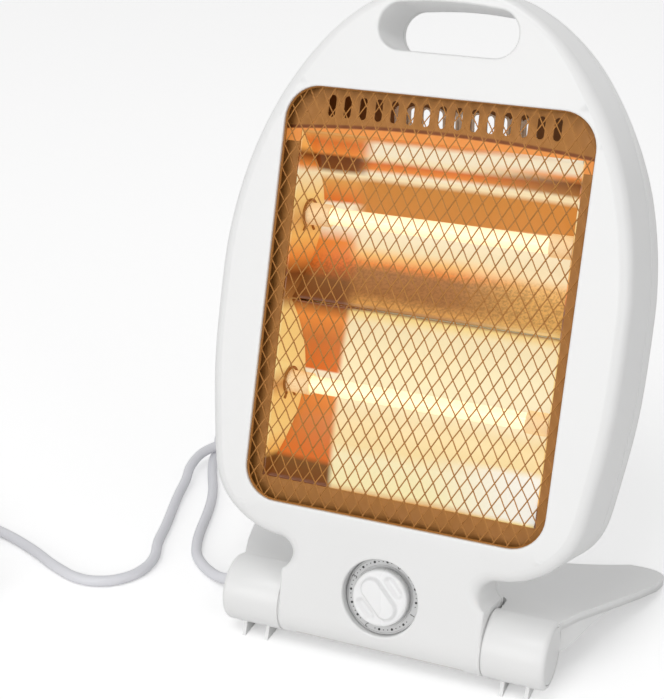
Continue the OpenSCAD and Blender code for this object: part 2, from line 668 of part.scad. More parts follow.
boss_z = 13;
boss_hole_r = 4;
module cord_boss() {
    translate([-drum_in - 10, 15, boss_z - axle_z - 7]) cube([9, boss_y - 15 + 7, 14]);
}
module foot_plate() color("gainsboro") union() {
    on_axle() difference() {
        union() {
            difference() {
                rotate([-plate_slope, 0, 0]) union() {
                    translate([0, 0, plate_top - plate_t]) linear_extrude(plate_t) plate_shape(0);
                    translate([0, 0, plate_top - skirt]) linear_extrude(skirt)
                        difference() { plate_shape(0); plate_shape(wall); }
                }
                // the drums stay hollow and the barrel turns freely
                rod_x(-drum_out - 1, drum_out + 1, barrel_r - wall);
                rod_x(-cut_half, cut_half, barrel_r + 1.5);
            }
            both_sides() { drum(); gusset(); fin(drum_in + 10.7); fin(drum_in + 25.4); }
            cord_boss();
        }
        translate([-drum_in - 12, boss_y, boss_z - axle_z]) rod_x(-1, 8, boss_hole_r);
        translate([lead_x, boss_y, boss_z - axle_z]) rotate([90, 0, 0]) cylinder(h = 17, r = lead_r + 0.4);
        translate([-200, -100, -axle_z - 50]) cube([400, 400, 50]);
    }
}
module drum_cap() {
    rotate([0, 90, 0]) rotate_extrude() polygon([[0, drum_out - 2.4], [cap_disc_r, drum_out - 2.4],
        [cap_disc_r, drum_out - 0.6], [cap_disc_r - 0.6, drum_out], [0, drum_out]]);
}
module drum_cap_right() color("white") on_axle() drum_cap();
module drum_cap_left() color("white") on_axle() mirror([1, 0, 0]) drum_cap();

head_x = barrel_half - 3.4;
nut_x = drum_in + 2.6 + 0.02;
module pivot_bolt() {
    difference() {
        union() { rod_x(head_x - 3, head_x, pivot_r + 4); rod_x(head_x - 0.1, nut_x + 7, pivot_r - 0.02); }
        rod_x(head_x - 4, nut_x + 8, pivot_r - 1.8);
    }
}
module pivot_bolt_right() color("silver") on_axle() pivot_bolt();
module pivot_bolt_left() color("silver") on_axle() mirror([1, 0, 0]) pivot_bolt();
module pivot_nuts() color("silver") on_axle() both_sides() difference() {
    translate([nut_x, 0, 0]) rotate([0, 90, 0]) cylinder(h = 4.5, r = pivot_r + 4, $fn = 6);
    rod_x(nut_x - 1, nut_x + 6, pivot_r);
}
module friction_washers() color("dimgray") on_axle() both_sides() difference() {
    rod_x(barrel_half - 0.1, drum_in - 0.1, barrel_r - 7);
    rod_x(barrel_half - 1, drum_in + 1, pivot_r + 0.1);
}

// ---------- cord ----------
cord_r = cord_d / 2;
relief_len = 26;
relief_x = -drum_in - 10;
module at_boss() on_axle() translate([relief_x, boss_y, boss_z - axle_z]) children();
module strain_relief() color("lavender") at_boss() {
    union() {
        rotate([0, -90, 0]) cylinder(h = relief_len, r1 = 5.6, r2 = cord_r + 0.4);
        rotate([0, 90, 0]) cylinder(h = 3, r = boss_hole_r - gap);
    }
}
// the supply goes on from the relief, through the drum and the hollow left bolt
lead_x = -drum_in - 4.9;
lead_r = 2;
lead_points = [[lead_x, boss_y, boss_z - axle_z], [lead_x, 20, -13], [lead_x, 13, -12.6], [-71, 8.5, -10],
    [-78, 6, -6], [-85, 4.2, -2.5], [-88.5, 1.8, -0.4], [-86, 0, 0.2], [-80, 0, 0], [-70, 0, 0], [-52, 0, 0]];
module supply_lead() color("gray") on_axle() tube_along(lead_points, lead_r, 8, [0.1, 0.2, 1]);
// the free run: straight out of the relief, down to the floor, a loop behind the housing
// that passes over itself, and away to the left; x and y from the axle, z above the floor
run_points = [
    [relief_x - relief_len, boss_y, boss_z], [relief_x - relief_len - 4, boss_y, boss_z - 0.1],
    [-109.5, 27.4, 11.5], [-118.3, 29.3, 8], [-127, 33.2, 4.8], [-137.1, 38.9, 3.5],
    [-146, 45.5, 3.3], [-153.9, 54.1, 3.3], [-160, 66, 3.3], [-165, 80, 3.3], [-169, 94, 3.3],
    [-173, 109, 3.3], [-178, 124, 3.3], [-185, 140, 3.3], [-193.9, 157, 3.3],
    [-202.2, 174.9, 3.3], [-208.3, 195.1, 3.3], [-216, 214.1, 3.3], [-220.5, 238.6, 3.3],
    [-207.6, 261.4, 3.3], [-183.5, 268.6, 3.3], [-162.6, 259, 3.3], [-153.4, 237.8, 3.3],
    [-161, 215.3, 4.8], [-178.5, 202.9, 8], [-196, 194.1, 10.8], [-208.1, 178.5, 10.4],
    [-210.6, 157.8, 8.2], [-205.6, 138.1, 5.6], [-202.1, 120, 3.8], [-190.9, 81, 3.3],
    [-185.3, 58.9, 3.3], [-177.9, 38.4, 3.3], [-178.8, 21.1, 3.3], [-185.1, 10.1, 3.3],
    [-194.2, 3.1, 3.3], [-209.1, -0.3, 3.3], [-229.4, 5.3, 3.3], [-256.9, 18.6, 3.3],
    [-286, 29.5, 3.3], [-310, 34.8, 3.5], [-331, 36, 3.7]];
module cord_run() color("lavender") on_axle() translate([0, 0, -axle_z])
    tube_along(smoothed(run_points), cord_r, 8, [0, 0, 1], 0.5);

// the put-away coil: two layers, spiralling in and out again, with a straight end on each
coil_rings = 24;
coil_step = cord_d + 0.6;
coil_low = 3.7;
coil_high = coil_low + coil_step;
coil_turn = 2;
coil_outer = 46.1;
coil_start = [-331, 36];
coil_mid = [coil_start[0] - cord_d, coil_start[1] - coil_outer];
tail_len = 32;
plug_deep = 18.4;
plug_mid = plug_deep / 2;
function coil_radius(t) = coil_outer - coil_step * (t < coil_turn ? t : 2 * coil_turn - t);
function coil_height(t) = coil_low + (coil_high - coil_low) * ease(coil_turn - 0.25, coil_turn + 0.25, t);
// the last turn ends nearest the front, and the tail leads off to the right
tail_y = coil_mid[1] - coil_radius(cord_turns);
function coil_line() = let(n = cord_turns * coil_rings)
    concat([[coil_start[0], coil_start[1], coil_low]],
    [for (i = [0:n]) let(t = i / coil_rings, a = 90 + 360 * t, r = coil_radius(t))
        [coil_mid[0] + r * cos(a), coil_mid[1] + r * sin(a), coil_height(t)]],
    [[coil_mid[0] + cord_d, tail_y, coil_high - 0.2], [coil_mid[0] + tail_len - cord_d, tail_y, plug_mid],
        [coil_mid[0] + tail_len, tail_y, plug_mid]]);
module cord_coil() color("lavender") on_axle() translate([0, 0, -axle_z])
    tube_along(coil_line(), cord_r, 6, [0, 0, 1], 0);
// least distance between stretches of the coil that are more than half a turn apart
coil_gap = let(p = coil_line(), h = coil_rings / 2)
    min([for (i = [0:len(p) - 1]) for (j = [i + h:1:len(p) - 1]) norm(p[i] - p[j])]) - cord_d;
echo(coil_gap = coil_gap);

tie_t = 0.5;
tie_w = 4;
module cord_tie() color("gray") on_axle() translate([coil_mid[0], coil_mid[1], -axle_z]) {
    r0 = coil_radius(1.75) - cord_r - 0.1;
    r1 = coil_radius(3.75) + cord_r + 0.1;
    h = coil_high + cord_r;
    rotate([90, 0, 0]) translate([0, 0, -tie_w / 2]) linear_extrude(tie_w) difference() {
        translate([r0 - tie_t, 0]) square([r1 - r0 + 2 * tie_t, h + tie_t]);
        translate([r0, tie_t]) square([r1 - r0, h - tie_t]);
    }
}

// the plug lies on its back with the pins up
plug_r = 25;
module plug_outline(t) {
    difference() {
        translate([0, -plug_r - 5]) circle(r = plug_r + 3 - t);
        for (m = [0, 1]) mirror([m, 0]) translate([plug_r - 1 - t, -70]) square([20, 80]);
        translate([-40, -plug_r - 5 - 50 - 21 + t]) square([80, 50]);
        translate([-40, -4 - t]) square([80, 30]);
    }
}
module at_plug() on_axle()
    translate([coil_mid[0] + tail_len, tail_y, -axle_z]) rotate([0, 0, 90]) children();
module plug_body() color("lavender") at_plug() difference() {
    union() {
        linear_extrude(plug_deep - 2) plug_outline(0);
        linear_extrude(plug_deep) plug_outline(2);
        translate([0, 0, plug_mid]) rotate([90, 0, 0]) cylinder(h = 8, r1 = cord_r + 0.6, r2 = 6.5);
        for (x = [-9, 9]) translate([x, -24, plug_deep - 1]) cylinder(h = 1.4, r = 3);
    }
    translate([0, -36, 6]) cylinder(h = 20, r = 1.6);
}
module plug_pins() color("silver") at_plug() {
    translate([-2, -16, plug_deep]) cube([4, 8, 22.7]);
    for (x = [-11, 11]) translate([x - 3.1, -40, plug_deep]) cube([6.2, 4, 17.7]);
}

// ---------- every piece ----------
foot_plate();
drum_cap_left();
drum_cap_right();
pivot_bolt_left();
pivot_bolt_right();
pivot_nuts();
friction_washers();
front_shell();
rear_cover();
hinge_plate_left();
hinge_plate_right();
grille();
reflector_frame();
reflector_upper();
reflector_lower();
reflector_end_left();
reflector_end_right();
heat_shield();
quartz_tube_upper();
quartz_tube_lower();
filament_upper();
filament_lower();
tube_caps_upper();
tube_caps_lower();
tube_bracket_left();
tube_bracket_right();
frame_screws();
cover_screws();
dial_ring();
knob();
switch_shaft();
rotary_switch();
tilt_bracket();
tilt_pendulum();
tilt_microswitch();
thermal_cutout();
terminal_block();
wiring();
strain_relief();
cord_run();
cord_coil();
supply_lead();
cord_tie();
plug_body();
plug_pins();
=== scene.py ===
import json
from math import sin, cos, pi, radians, degrees, sqrt, acos, hypot
import bpy
import bmesh
from mathutils import Matrix, Vector
from mathutils.geometry import interpolate_bezier


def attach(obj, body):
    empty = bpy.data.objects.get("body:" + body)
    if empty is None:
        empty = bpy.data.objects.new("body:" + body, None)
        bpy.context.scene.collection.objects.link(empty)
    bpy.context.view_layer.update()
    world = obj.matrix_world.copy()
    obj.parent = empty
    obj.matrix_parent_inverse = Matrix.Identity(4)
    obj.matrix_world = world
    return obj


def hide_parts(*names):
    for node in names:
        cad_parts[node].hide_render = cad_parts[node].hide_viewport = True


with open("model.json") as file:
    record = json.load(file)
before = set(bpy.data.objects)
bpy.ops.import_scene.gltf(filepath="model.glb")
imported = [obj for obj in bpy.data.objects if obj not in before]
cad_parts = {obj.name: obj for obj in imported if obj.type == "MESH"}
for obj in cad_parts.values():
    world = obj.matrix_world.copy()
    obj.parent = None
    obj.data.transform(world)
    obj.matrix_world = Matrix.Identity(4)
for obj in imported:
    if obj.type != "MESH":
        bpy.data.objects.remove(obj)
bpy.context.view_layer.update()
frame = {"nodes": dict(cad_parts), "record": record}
scene = bpy.context.scene
scene.view_settings.view_transform = "Standard"

# millimetres from the tilt axle to the shared frame in metres: upright, leaning with the
# housing, and sloping with the foot plate
axleAt = Vector((0, -0.06439, 0.026))
lean, slope = 18, 16
onAxle = Matrix.Translation(axleAt) @ Matrix.Scale(0.001, 4)
inHousing = onAxle @ Matrix.Rotation(radians(-lean), 4, "X")
inPlate = onAxle @ Matrix.Rotation(radians(-slope), 4, "X")


def feed(tree, node, values):
    # a number goes into the socket, another node's output is linked to it
    for key, value in dict(values).items():
        if isinstance(value, bpy.types.NodeSocket):
            tree.links.new(value, node.inputs[key])
        else:
            node.inputs[key].default_value = value


def addNode(tree, kind, settings=(), values=()):
    node = tree.nodes.new("ShaderNode" + kind)
    for key, value in dict(settings).items():
        setattr(node, key, value)
    feed(tree, node, values)
    return node


def addMath(tree, operation, *terms):
    return addNode(tree, "Math", {"operation": operation}, enumerate(terms)).outputs[0]


# ---- camera and lights ----
view = {"place": (0.26653, -0.79273, 0.54039), "turn": (66.2095, 0.0868, 22.4748), "lens": 80.48}
camera = bpy.data.objects.new("camera", bpy.data.cameras.new("camera"))
camera.location = view["place"]
camera.rotation_euler = [radians(a) for a in view["turn"]]
camera.data.lens = view["lens"]
camera.data.clip_start = 0.01
scene.collection.objects.link(camera)
scene.camera = camera

# place, what it points at, size and power
lamps = {"keyLight": ((-0.9, -3.7, 1.3), (0, 0, 0.1), 2.4, 34),
         "topLight": ((-0.2, -1.7, 2.9), (0, -0.05, 0.1), 1.2, 18),
         "sideLight": ((2.6, -1.8, 1.1), (0, 0, 0.15), 1.6, 9)}
for name, (place, aim, size, power) in lamps.items():
    lamp = bpy.data.lights.new(name, "AREA")
    lamp.shape = "DISK"
    lamp.size = size
    lamp.energy = power
    obj = bpy.data.objects.new(name, lamp)
    obj.location = place
    obj.rotation_euler = (Vector(aim) - Vector(place)).to_track_quat("-Z", "Y").to_euler()
    scene.collection.objects.link(obj)

world = bpy.data.worlds.new("studio")
world.use_nodes = True
scene.world = world
tree = world.node_tree
tree.nodes.clear()
levels = {"onObject": 0.52, "behind": 1.0, "floorLift": 0.34}
path = addNode(tree, "LightPath").outputs
seen = addMath(tree, "MAXIMUM", path["Is Camera Ray"], path["Is Glossy Ray"])
seen = addMath(tree, "MAXIMUM", seen, path["Is Transmission Ray"])
level = addNode(tree, "MapRange", values={"Value": seen, "To Min": levels["onObject"], "To Max": levels["behind"]})
back = addNode(tree, "Background", values={"Color": (1, 1, 1, 1), "Strength": level.outputs["Result"]})
addNode(tree, "OutputWorld", values={"Surface": back.outputs[0]})
print("camera and lights")


# ---- helpers ----
dressed = []  # each piece with its material's name


def finishPiece(bm, name, body, slot, place, swaps=(), crease=38, weld=0.002):
    bmesh.ops.remove_doubles(bm, verts=bm.verts, dist=weld)
    bmesh.ops.recalc_face_normals(bm, faces=bm.faces)
    bmesh.ops.transform(bm, matrix=place, verts=bm.verts)
    mesh = bpy.data.meshes.new(name)
    bm.to_mesh(mesh)
    bm.free()
    for face in mesh.polygons:
        face.use_smooth = True
    mesh.set_sharp_from_angle(angle=radians(crease))
    return addPiece(bpy.data.objects.new(name, mesh), body, slot, swaps)


def addPiece(obj, body, slot, swaps=()):
    scene.collection.objects.link(obj)
    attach(obj, body)
    dressed.append((obj, slot))
    if swaps:
        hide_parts(*swaps)
    return obj


def ringOf(bm, points):
    verts = [bm.verts.new(p) for p in points]
    return [bm.edges.new((verts[i - 1], verts[i])) for i in range(len(verts))]


def bridgeRings(bm, rings):
    for near, far in zip(rings, rings[1:]):
        bmesh.ops.bridge_loops(bm, edges=near + far)


def ease(a, b, x):
    t = min(1, max(0, (x - a) / (b - a)))
    return t * t * (3 - 2 * t)


def roundRing(halfW, halfH, radius, middle, steps=10):
    cornersAt = [(halfW - radius, halfH - radius), (radius - halfW, halfH - radius),
                 (radius - halfW, radius - halfH), (halfW - radius, radius - halfH)]
    points = []
    for k, (x, z) in enumerate(cornersAt):
        for i in range(steps + 1):
            a = pi / 2 * (k + i / steps)
            points.append((x + radius * cos(a), 0, middle + z + radius * sin(a)))
    return points


def holeEdges(bm, holds):
    return [e for e in bm.edges if e.is_boundary and all(holds(v.co) for v in e.verts)]


def drawOn(bm, edges):
    # the edges again, joined to the old ones and free to move
    made = bmesh.ops.extrude_edge_only(bm, edges=edges)["geom"]
    fresh = {g for g in made if isinstance(g, bmesh.types.BMVert)}
    return fresh, [g for g in made if isinstance(g, bmesh.types.BMEdge) and set(g.verts) <= fresh]


def turnIn(bm, edges, coreOf, steps):
    # a hole's edge, drawn on through (change of radius, change of depth, or a fixed y)
    for grow, deeper, *fixed in steps:
        fresh, edges = drawOn(bm, edges)
        for v in fresh:
            away = v.co - coreOf(v.co)
            away.y = 0
            v.co += away.normalized() * grow
            v.co.y = fixed[0] if fixed else v.co.y + deeper
    return edges


def allOf(bm):
    return bm.verts[:] + bm.edges[:] + bm.faces[:]


def spunProfile(profile, steps, axis, closed=True):
    # profile of (radius, place along the axis)
    bm = bmesh.new()
    points = [(r, a, 0) if axis == "Y" else (a, r, 0) for r, a in profile]
    verts = [bm.verts.new(p) for p in points]
    pairs = list(zip(verts, verts[1:])) + ([(verts[-1], verts[0])] if closed else [])
    edges = [bm.edges.new(pair) for pair in pairs]
    bmesh.ops.spin(bm, geom=verts + edges, cent=(0, 0, 0), axis=(0, 1, 0) if axis == "Y" else (1, 0, 0),
                   dvec=(0, 0, 0), angle=2 * pi, steps=steps, use_merge=True)
    return bm


def joinInto(bm, other):
    spare = bpy.data.meshes.new("spare")
    other.to_mesh(spare)
    other.free()
    bm.from_mesh(spare)
    bpy.data.meshes.remove(spare)


def addModifier(piece, name, kind, **values):
    made = piece.modifiers.new(name, kind)
    for key, value in values.items():
        setattr(made, key, value)


# ---- the cord, its coil and its strain relief ----
cordSizes = {"diameter": 7, "lift": 0.4, "turns": 4.5, "outer": 46.1, "step": 7.6,
             "low": 3.7, "high": 11.3, "middle": (-338, -10.1), "tail": 32}
cordRun = [(-98.8, 27, 13), (-103.6, 27.05, 12.6), (-109.5, 27.4, 11.3), (-118.3, 29.3, 8),
           (-127, 33.2, 4.8), (-137.1, 38.9, 3.5), (-146, 45.5, 3.3), (-153.9, 54.1, 3.3),
           (-160, 66, 3.3), (-165, 80, 3.3), (-173, 109, 3.3), (-178, 124, 3.3), (-185, 140, 3.3),
           (-193.9, 157, 3.3), (-202.2, 174.9, 3.3), (-208.3, 195.1, 3.3), (-216, 214.1, 3.3),
           (-220.5, 238.6, 3.3), (-207.6, 261.4, 3.3), (-183.5, 268.6, 3.3), (-162.6, 259, 3.3),
           (-153.4, 237.8, 3.3), (-161, 215.3, 4.8), (-178.5, 202.9, 8), (-196, 194.1, 10.8),
           (-208.1, 178.5, 10.4), (-210.6, 157.8, 8.2), (-205.6, 138.1, 5.6), (-202.1, 120, 3.8),
           (-190.9, 81, 3.3), (-185.3, 58.9, 3.3), (-177.9, 38.4, 3.3), (-178.8, 21.1, 3.3),
           (-185.1, 10.1, 3.3), (-194.2, 3.1, 3.3), (-209.1, -0.3, 3.3), (-229.4, 5.3, 3.3),
           (-256.9, 18.6, 3.3), (-286, 29.5, 3.3), (-310, 34.8, 3.5)]


def coilPoints():
    # wound in two layers, in and out again, with a short tail to the plug
    s = cordSizes
    x, y = s["middle"]
    points = [(x + s["diameter"], y + s["outer"], s["low"])]
    rings = 16
    for i in range(int(s["turns"] * rings) + 1):
        t = i / rings
        a = radians(90 + 360 * t)
        r = s["outer"] - s["step"] * (t if t < 2 else 4 - t)
        z = s["low"] + (s["high"] - s["low"]) * ease(1.75, 2.25, t)
        points.append((x + r * cos(a), y + r * sin(a), z))
    y -= s["outer"] + s["step"] * (s["turns"] - 4)
    return points + [(x + 7, y, 11.1), (x + s["tail"] - 7, y, 9.2), (x + s["tail"], y, 9.2)]


def makeCord():
    points = [Vector((x, y, z - 26 + cordSizes["lift"])) for x, y, z in cordRun + coilPoints()]
    data = bpy.data.curves.new("mainsCord", "CURVE")
    data.dimensions = "3D"
    data.bevel_depth = 1  # times each point's own radius
    data.bevel_resolution = 5
    data.resolution_u = data.render_resolution_u = 4
    data.use_fill_caps = True
    spline = data.splines.new("BEZIER")
    spline.bezier_points.add(len(points) - 1)
    for knot, p in zip(spline.bezier_points, points):
        knot.co = onAxle @ p
        knot.radius = cordSizes["diameter"] / 2000  # half of it, in metres
        knot.handle_left_type = knot.handle_right_type = "AUTO"
    return addPiece(bpy.data.objects.new("mainsCord", data), "stand", "cord_grey", ["cord_run", "cord_coil"])


reliefSizes = {"at": (-72.8, 27, -13), "length": 26, "root": 5.6, "tip": 3.9, "ribs": 6}


def makeRelief():
    s = reliefSizes
    profile = [(0, 3), (3.6, 3), (3.9, 0.4), (s["root"], 0)]
    for i in range(s["ribs"]):
        for part, dip in ((0.12, 0), (0.5, 0), (0.62, 0.7), (0.88, 0.7)):
            along = (i + part) / s["ribs"]
            profile.append((s["root"] + (s["tip"] - s["root"]) * along - dip, -along * s["length"]))
    profile.append((0, -s["length"]))
    bm = spunProfile(profile, 32, "X", closed=False)
    bmesh.ops.translate(bm, verts=bm.verts, vec=s["at"])
    return finishPiece(bm, "cordRelief", "stand", "cord_grey", onAxle, ["strain_relief"], crease=50)


cordPiece = makeCord()
reliefPiece = makeRelief()
print("cord")

# ---- the housing's two shells ----
shellSizes = {"face": -26.5, "parting": 15.5, "halfWidth": 120.5, "rise": 179, "middle": 187,
              "sideRadius": 400, "corner": (63.5, 90.5, 50), "notch": (67, 31, 10), "wall": 2.2,
              "barrel": 20, "barrelHalf": 62, "window": (90, 120, 20, 182), "slot": (40, 14, 340),
              "dial": (23, 17.4, -13.5), "edgeRound": 7, "edgeDepth": 8}


def roundness(z):
    # how much of the edge's roundness there is: less at the handle, little beside the drums
    return (0.2 + 0.8 * ease(20, 36, z)) * (1 - 0.28 * ease(315, 345, z))


def shellOutline(inset, bottom):
    # right half from the top down, then mirrored; inset is negative where it is wider
    s = shellSizes

    def part(middleX, middleZ, radiusX, radiusZ, angle, sign=1):
        a = radians(angle)
        plain = middleZ + radiusZ * sin(a)
        grow = inset * (roundness(plain) if inset > 0 else ease(44, 64, plain) * (1 - 0.4 * ease(320, 366, plain)))
        return (middleX + (radiusX - sign * grow) * cos(a),
                middleZ + (radiusZ - sign * grow) * sin(a) - 1.1 * ease(358, 366, plain))

    half = [part(0, s["middle"], s["halfWidth"], s["rise"], 90 - 88 * i / 64) for i in range(65)]
    r = s["sideRadius"]
    half += [part(s["halfWidth"] - r, 167, r, r, -i) for i in range(1, 11)]
    x, z, r = s["corner"]
    half += [part(x, z, r, r, -12 - 74 * i / 18) for i in range(19)]
    # the notch, then down beside the drum
    x, z, r = s["notch"]
    low = max(inset, 0) * 0.2
    side = s["barrelHalf"] - 0.1 - low
    last = 180 + degrees(acos((x - side) / (r + low)))
    half += [part(x, z, r, r, 98 + (last - 98) * i / 18, -1) for i in range(19)]
    for i in range(3):
        half[1:-1] = [tuple((a + 2 * b + c) / 4 for a, b, c in zip(*three))
                      for three in zip(half, half[1:], half[2:])]
    x, z = half[-1]
    skin = s["barrel"] + 0.1
    drops = [z + (-2 - z) * i / 6 for i in range(1, 7)]
    drops += [skin * sin(radians(-5.7 - 5.95 * i)) for i in range(1, 13)]
    share = (bottom + low - z) / (drops[-1] - z)
    half += [(side, z + (d - z) * share) for d in drops]
    half += [(side * (1 - i / 6), bottom + low) for i in range(1, 7)]
    return half + [(-x, z) for x, z in reversed(half[1:-1])]


def faceAt(z):
    # the front: flat, then leaning back to meet the barrel
    s = shellSizes
    slant = 1 + (49.5 - z) * 0.1088
    y = s["face"] + (slant + sqrt(slant * slant + 0.09)) / 2
    r = s["barrel"] + 0.1
    return y if z > -2.2 else -sqrt(max(1, r * r - z * z))


def backAt(z):
    s = shellSizes
    deep = 22 - 15 * ease(260, 322, z) - 16 * (1 - ease(40.5, 64.5, z)) - 1.6 * (1 - ease(20, 44, z))
    r = s["barrel"] + 0.03
    return s["parting"] + deep if z > 1 else sqrt(r * r - z * z)


def slotPoints(grow):
    half, r, z = shellSizes["slot"]
    run = half - r
    points = roundRing(half + grow, r - 1 + grow, r - 1.1 + grow, z - 1, 9)
    arch = [(run * (1 - i / 4), 0, z + r - 2 + grow + 1.6 * (1 - (1 - i / 4) ** 2)) for i in range(1, 8)]
    return points[:10] + arch + points[10:]


def slotCore(p):
    half, r, z = shellSizes["slot"]
    return Vector((min(half - r, max(r - half, p.x)), 0, z - 1))


def nearSlot(p):
    # true for the slot's own edge alone; its arched top reaches further near the middle
    core = slotCore(p)
    return hypot(p.x - core.x, p.z - core.z) < (16.6 if abs(p.x) < 24 else 15.8)


def windowCore(p):
    halfW, halfH, r, z = shellSizes["window"]
    return Vector((min(halfW - r, max(r - halfW, p.x)), 0, z + min(halfH - r, max(r - halfH, p.z - z))))


def roundHole(x, z, r, steps=32):
    return [(x + r * cos(2 * pi * i / steps), 0, z + r * sin(2 * pi * i / steps)) for i in range(steps)]


def filledPlate(bm, outline, holes, bends, depthAt):
    # a flat plate with holes, cut across where it bends, then set to its depth
    outer = ringOf(bm, [(x, 0, z) for x, z in outline])
    rings = [ringOf(bm, points) for points in holes]
    bmesh.ops.triangle_fill(bm, use_beauty=True, edges=outer + sum(rings, []), normal=(0, -1, 0))
    for z in sorted({round(z, 4) for x, z in outline if any(a < z < b for a, b in bends)}):
        bmesh.ops.bisect_plane(bm, geom=allOf(bm), dist=0.0005, plane_co=(0, 0, z), plane_no=(0, 0, 1))
    for v in bm.verts:
        v.co.y = depthAt(v.co.z)


def barrelPart(front):
    s = shellSizes
    bm = bmesh.new()
    bmesh.ops.create_cone(bm, cap_ends=True, segments=96, radius1=s["barrel"], radius2=s["barrel"],
                          depth=2 * s["barrelHalf"], matrix=Matrix.Rotation(pi / 2, 4, "Y"))
    rims = [e for e in bm.edges if abs(e.verts[0].co.x - e.verts[1].co.x) < 0.01]
    bmesh.ops.bevel(bm, geom=rims, offset=1, offset_type="OFFSET", segments=3, profile=0.5,
                    affect="EDGES", material=-1)
    cuts = (((0, s["parting"] + 0.1, 0), (0, 1, 0)), ((60, 0, 0), (1, 0, 0)), ((-60, 0, 0), (1, 0, 0)),
            ((0, 0, -15), (0, 0, 1)), ((0, 0, 0), (0, 1, 0)))
    for i, (spot, way) in enumerate(cuts):
        bmesh.ops.bisect_plane(bm, geom=allOf(bm), plane_co=spot, plane_no=way,
                               clear_outer=i == 0 and front, clear_inner=i == 0 and not front)
    # nothing of it stands behind the face's skin, where the dial's cup is
    middles = {f: f.calc_center_median() for f in bm.faces}
    gone = [f for f, p in middles.items() if abs(p.x) < 60 and p.y < 0 and p.z > -15]
    bmesh.ops.delete(bm, geom=gone, context="FACES")
    return bm


def makeFrontShell():
    s = shellSizes
    bm = bmesh.new()
    windowHalf, windowHigh, windowR, windowZ = s["window"]
    dialR, dialZ, dialFloor = s["dial"]
    low, flat = -19.6, s["edgeRound"] + 0.3
    holes = [roundRing(windowHalf + 1.5, windowHigh + 1.5, windowR + 1.5, windowZ), slotPoints(1.6),
             roundHole(0, dialZ, dialR + 1.4, 64)]
    filledPlate(bm, shellOutline(flat, low), holes, [(42, 72), (-20, 4)], faceAt)
    window = holeEdges(bm, lambda p: abs(p.x) < windowHalf + 3 and 55 < p.z < 305)
    slot = holeEdges(bm, nearSlot)
    dial = holeEdges(bm, lambda p: (p - Vector((0, p.y, dialZ))).length < dialR + 3)
    turnIn(bm, window, windowCore, [(-0.8, 0.02), (-0.45, 0.25), (-0.25, 0.7), (0, 1.2)])
    turnIn(bm, slot, slotCore, [(-0.6, 0.1), (-0.55, 0.35), (-0.3, 0.7), (-0.15, 1.1),
                                (0, 1.6), (0, 6), (0, 0, s["parting"])])
    cup = turnIn(bm, dial, lambda p: Vector((0, 0, dialZ)),
                 [(-0.7, 0.05), (-0.4, 0.3), (-0.3, 0.7), (0, 0.5), (0, 0, dialFloor)])
    bmesh.ops.edgeloop_fill(bm, edges=cup)
    # the round outer edge and the side, back to the parting line
    rows = [(flat, 0, low)]
    for i in range(7):
        a = radians(15 * i)
        rows.append((s["edgeRound"] * (1 - sin(a)), s["edgeDepth"] * (1 - cos(a)), low if i < 5 else low + 3))
    rows += [(-0.8, 16, -6), (-1.7, 25, -6), (-2.5, 34, -6), (-2.95, 40.9, -6), (-2.8, 41.6, -6),
             (-2.2, 41.95, -6), (1.2, 42, -6)]
    rings = []
    for inset, deep, bottom in rows:
        ring = [(x, max(faceAt(z) + min(deep, 8) * roundness(z), s["face"] + deep if deep > 8 else -99), z)
                for x, z in shellOutline(inset, bottom)]
        rings.append(ringOf(bm, ring))
    bridgeRings(bm, rings)
    joinInto(bm, barrelPart(True))
    return finishPiece(bm, "frontShell", "housing", "white_shell", inHousing, ["front_shell"], crease=40, weld=0.004)


rearSizes = {"vents": ((287, 11, 7.8, 20), (240, 17, 10, 26), (120, 17, 10, 26), (86, 15, 10, 26)), "ventW": 4.4,
             "screws": ((110.5, 197), (108.5, 110), (52, 330))}


def makeRearCover():
    s, r = shellSizes, rearSizes
    bm = bmesh.new()
    spots = [((k - (count - 1) / 2) * pitch, z, high) for z, count, pitch, high in r["vents"] for k in range(count)]
    half = r["ventW"] / 2 + 0.5
    vents = [[(x + dx, y, z) for x, y, z in roundRing(half, high / 2 + 0.5, half - 0.01, mid, 5)]
             for dx, mid, high in spots]
    screws = [roundHole(side * x, z, 3.4, 20) for x, z in r["screws"] for side in (1, -1)]
    filledPlate(bm, shellOutline(6.2, -4), vents + screws + [slotPoints(1.6)],
                [(20, 67), (256, 327), (-5, 4)], backAt)
    for x, z, high in spots:
        reach = high / 2 - 2
        edges = holeEdges(bm, lambda p: abs(p.x - x) < 3.2 and abs(p.z - z) < high / 2 + 1.2)
        turnIn(bm, edges, lambda p: Vector((x, 0, z + min(reach, max(-reach, p.z - z)))),
               [(-0.35, -0.15), (-0.15, -0.5), (0, -1.8)])
    for x, z in r["screws"]:
        for side in (1, -1):
            edges = holeEdges(bm, lambda p: (p - Vector((side * x, p.y, z))).length < 3.7)
            turnIn(bm, edges, lambda p: Vector((side * x, 0, z)), [(-0.4, -0.3), (0, -4)])
    slot = holeEdges(bm, nearSlot)
    turnIn(bm, slot, slotCore, [(-0.6, -0.1), (-0.55, -0.35), (-0.3, -0.7), (-0.15, -1.1),
                                (0, 0, s["parting"] + 0.3)])
    rows = [(1.2, 0, 0.35), (-2.2, 0, 0.35), (-2.85, 0, 0.75), (-3.1, 0.05, 0.9), (-3.6, 0.3, 0),
            (-4, 0.6, 0), (-3.5, 0.76, 0), (-2.1, 0.88, 0), (0.3, 0.965, 0), (3.4, 1, 0), (6.2, 1, 0)]
    rings = []
    for inset, share, more in rows:
        ring = [(x, s["parting"] + share * (backAt(z) - s["parting"]) + more, z)
                for x, z in shellOutline(inset, -4)]
        rings.append(ringOf(bm, ring))
    bridgeRings(bm, rings)
    joinInto(bm, barrelPart(False))
    return finishPiece(bm, "rearCover", "housing", "white_shell", inHousing, ["rear_cover"], crease=40, weld=0.004)


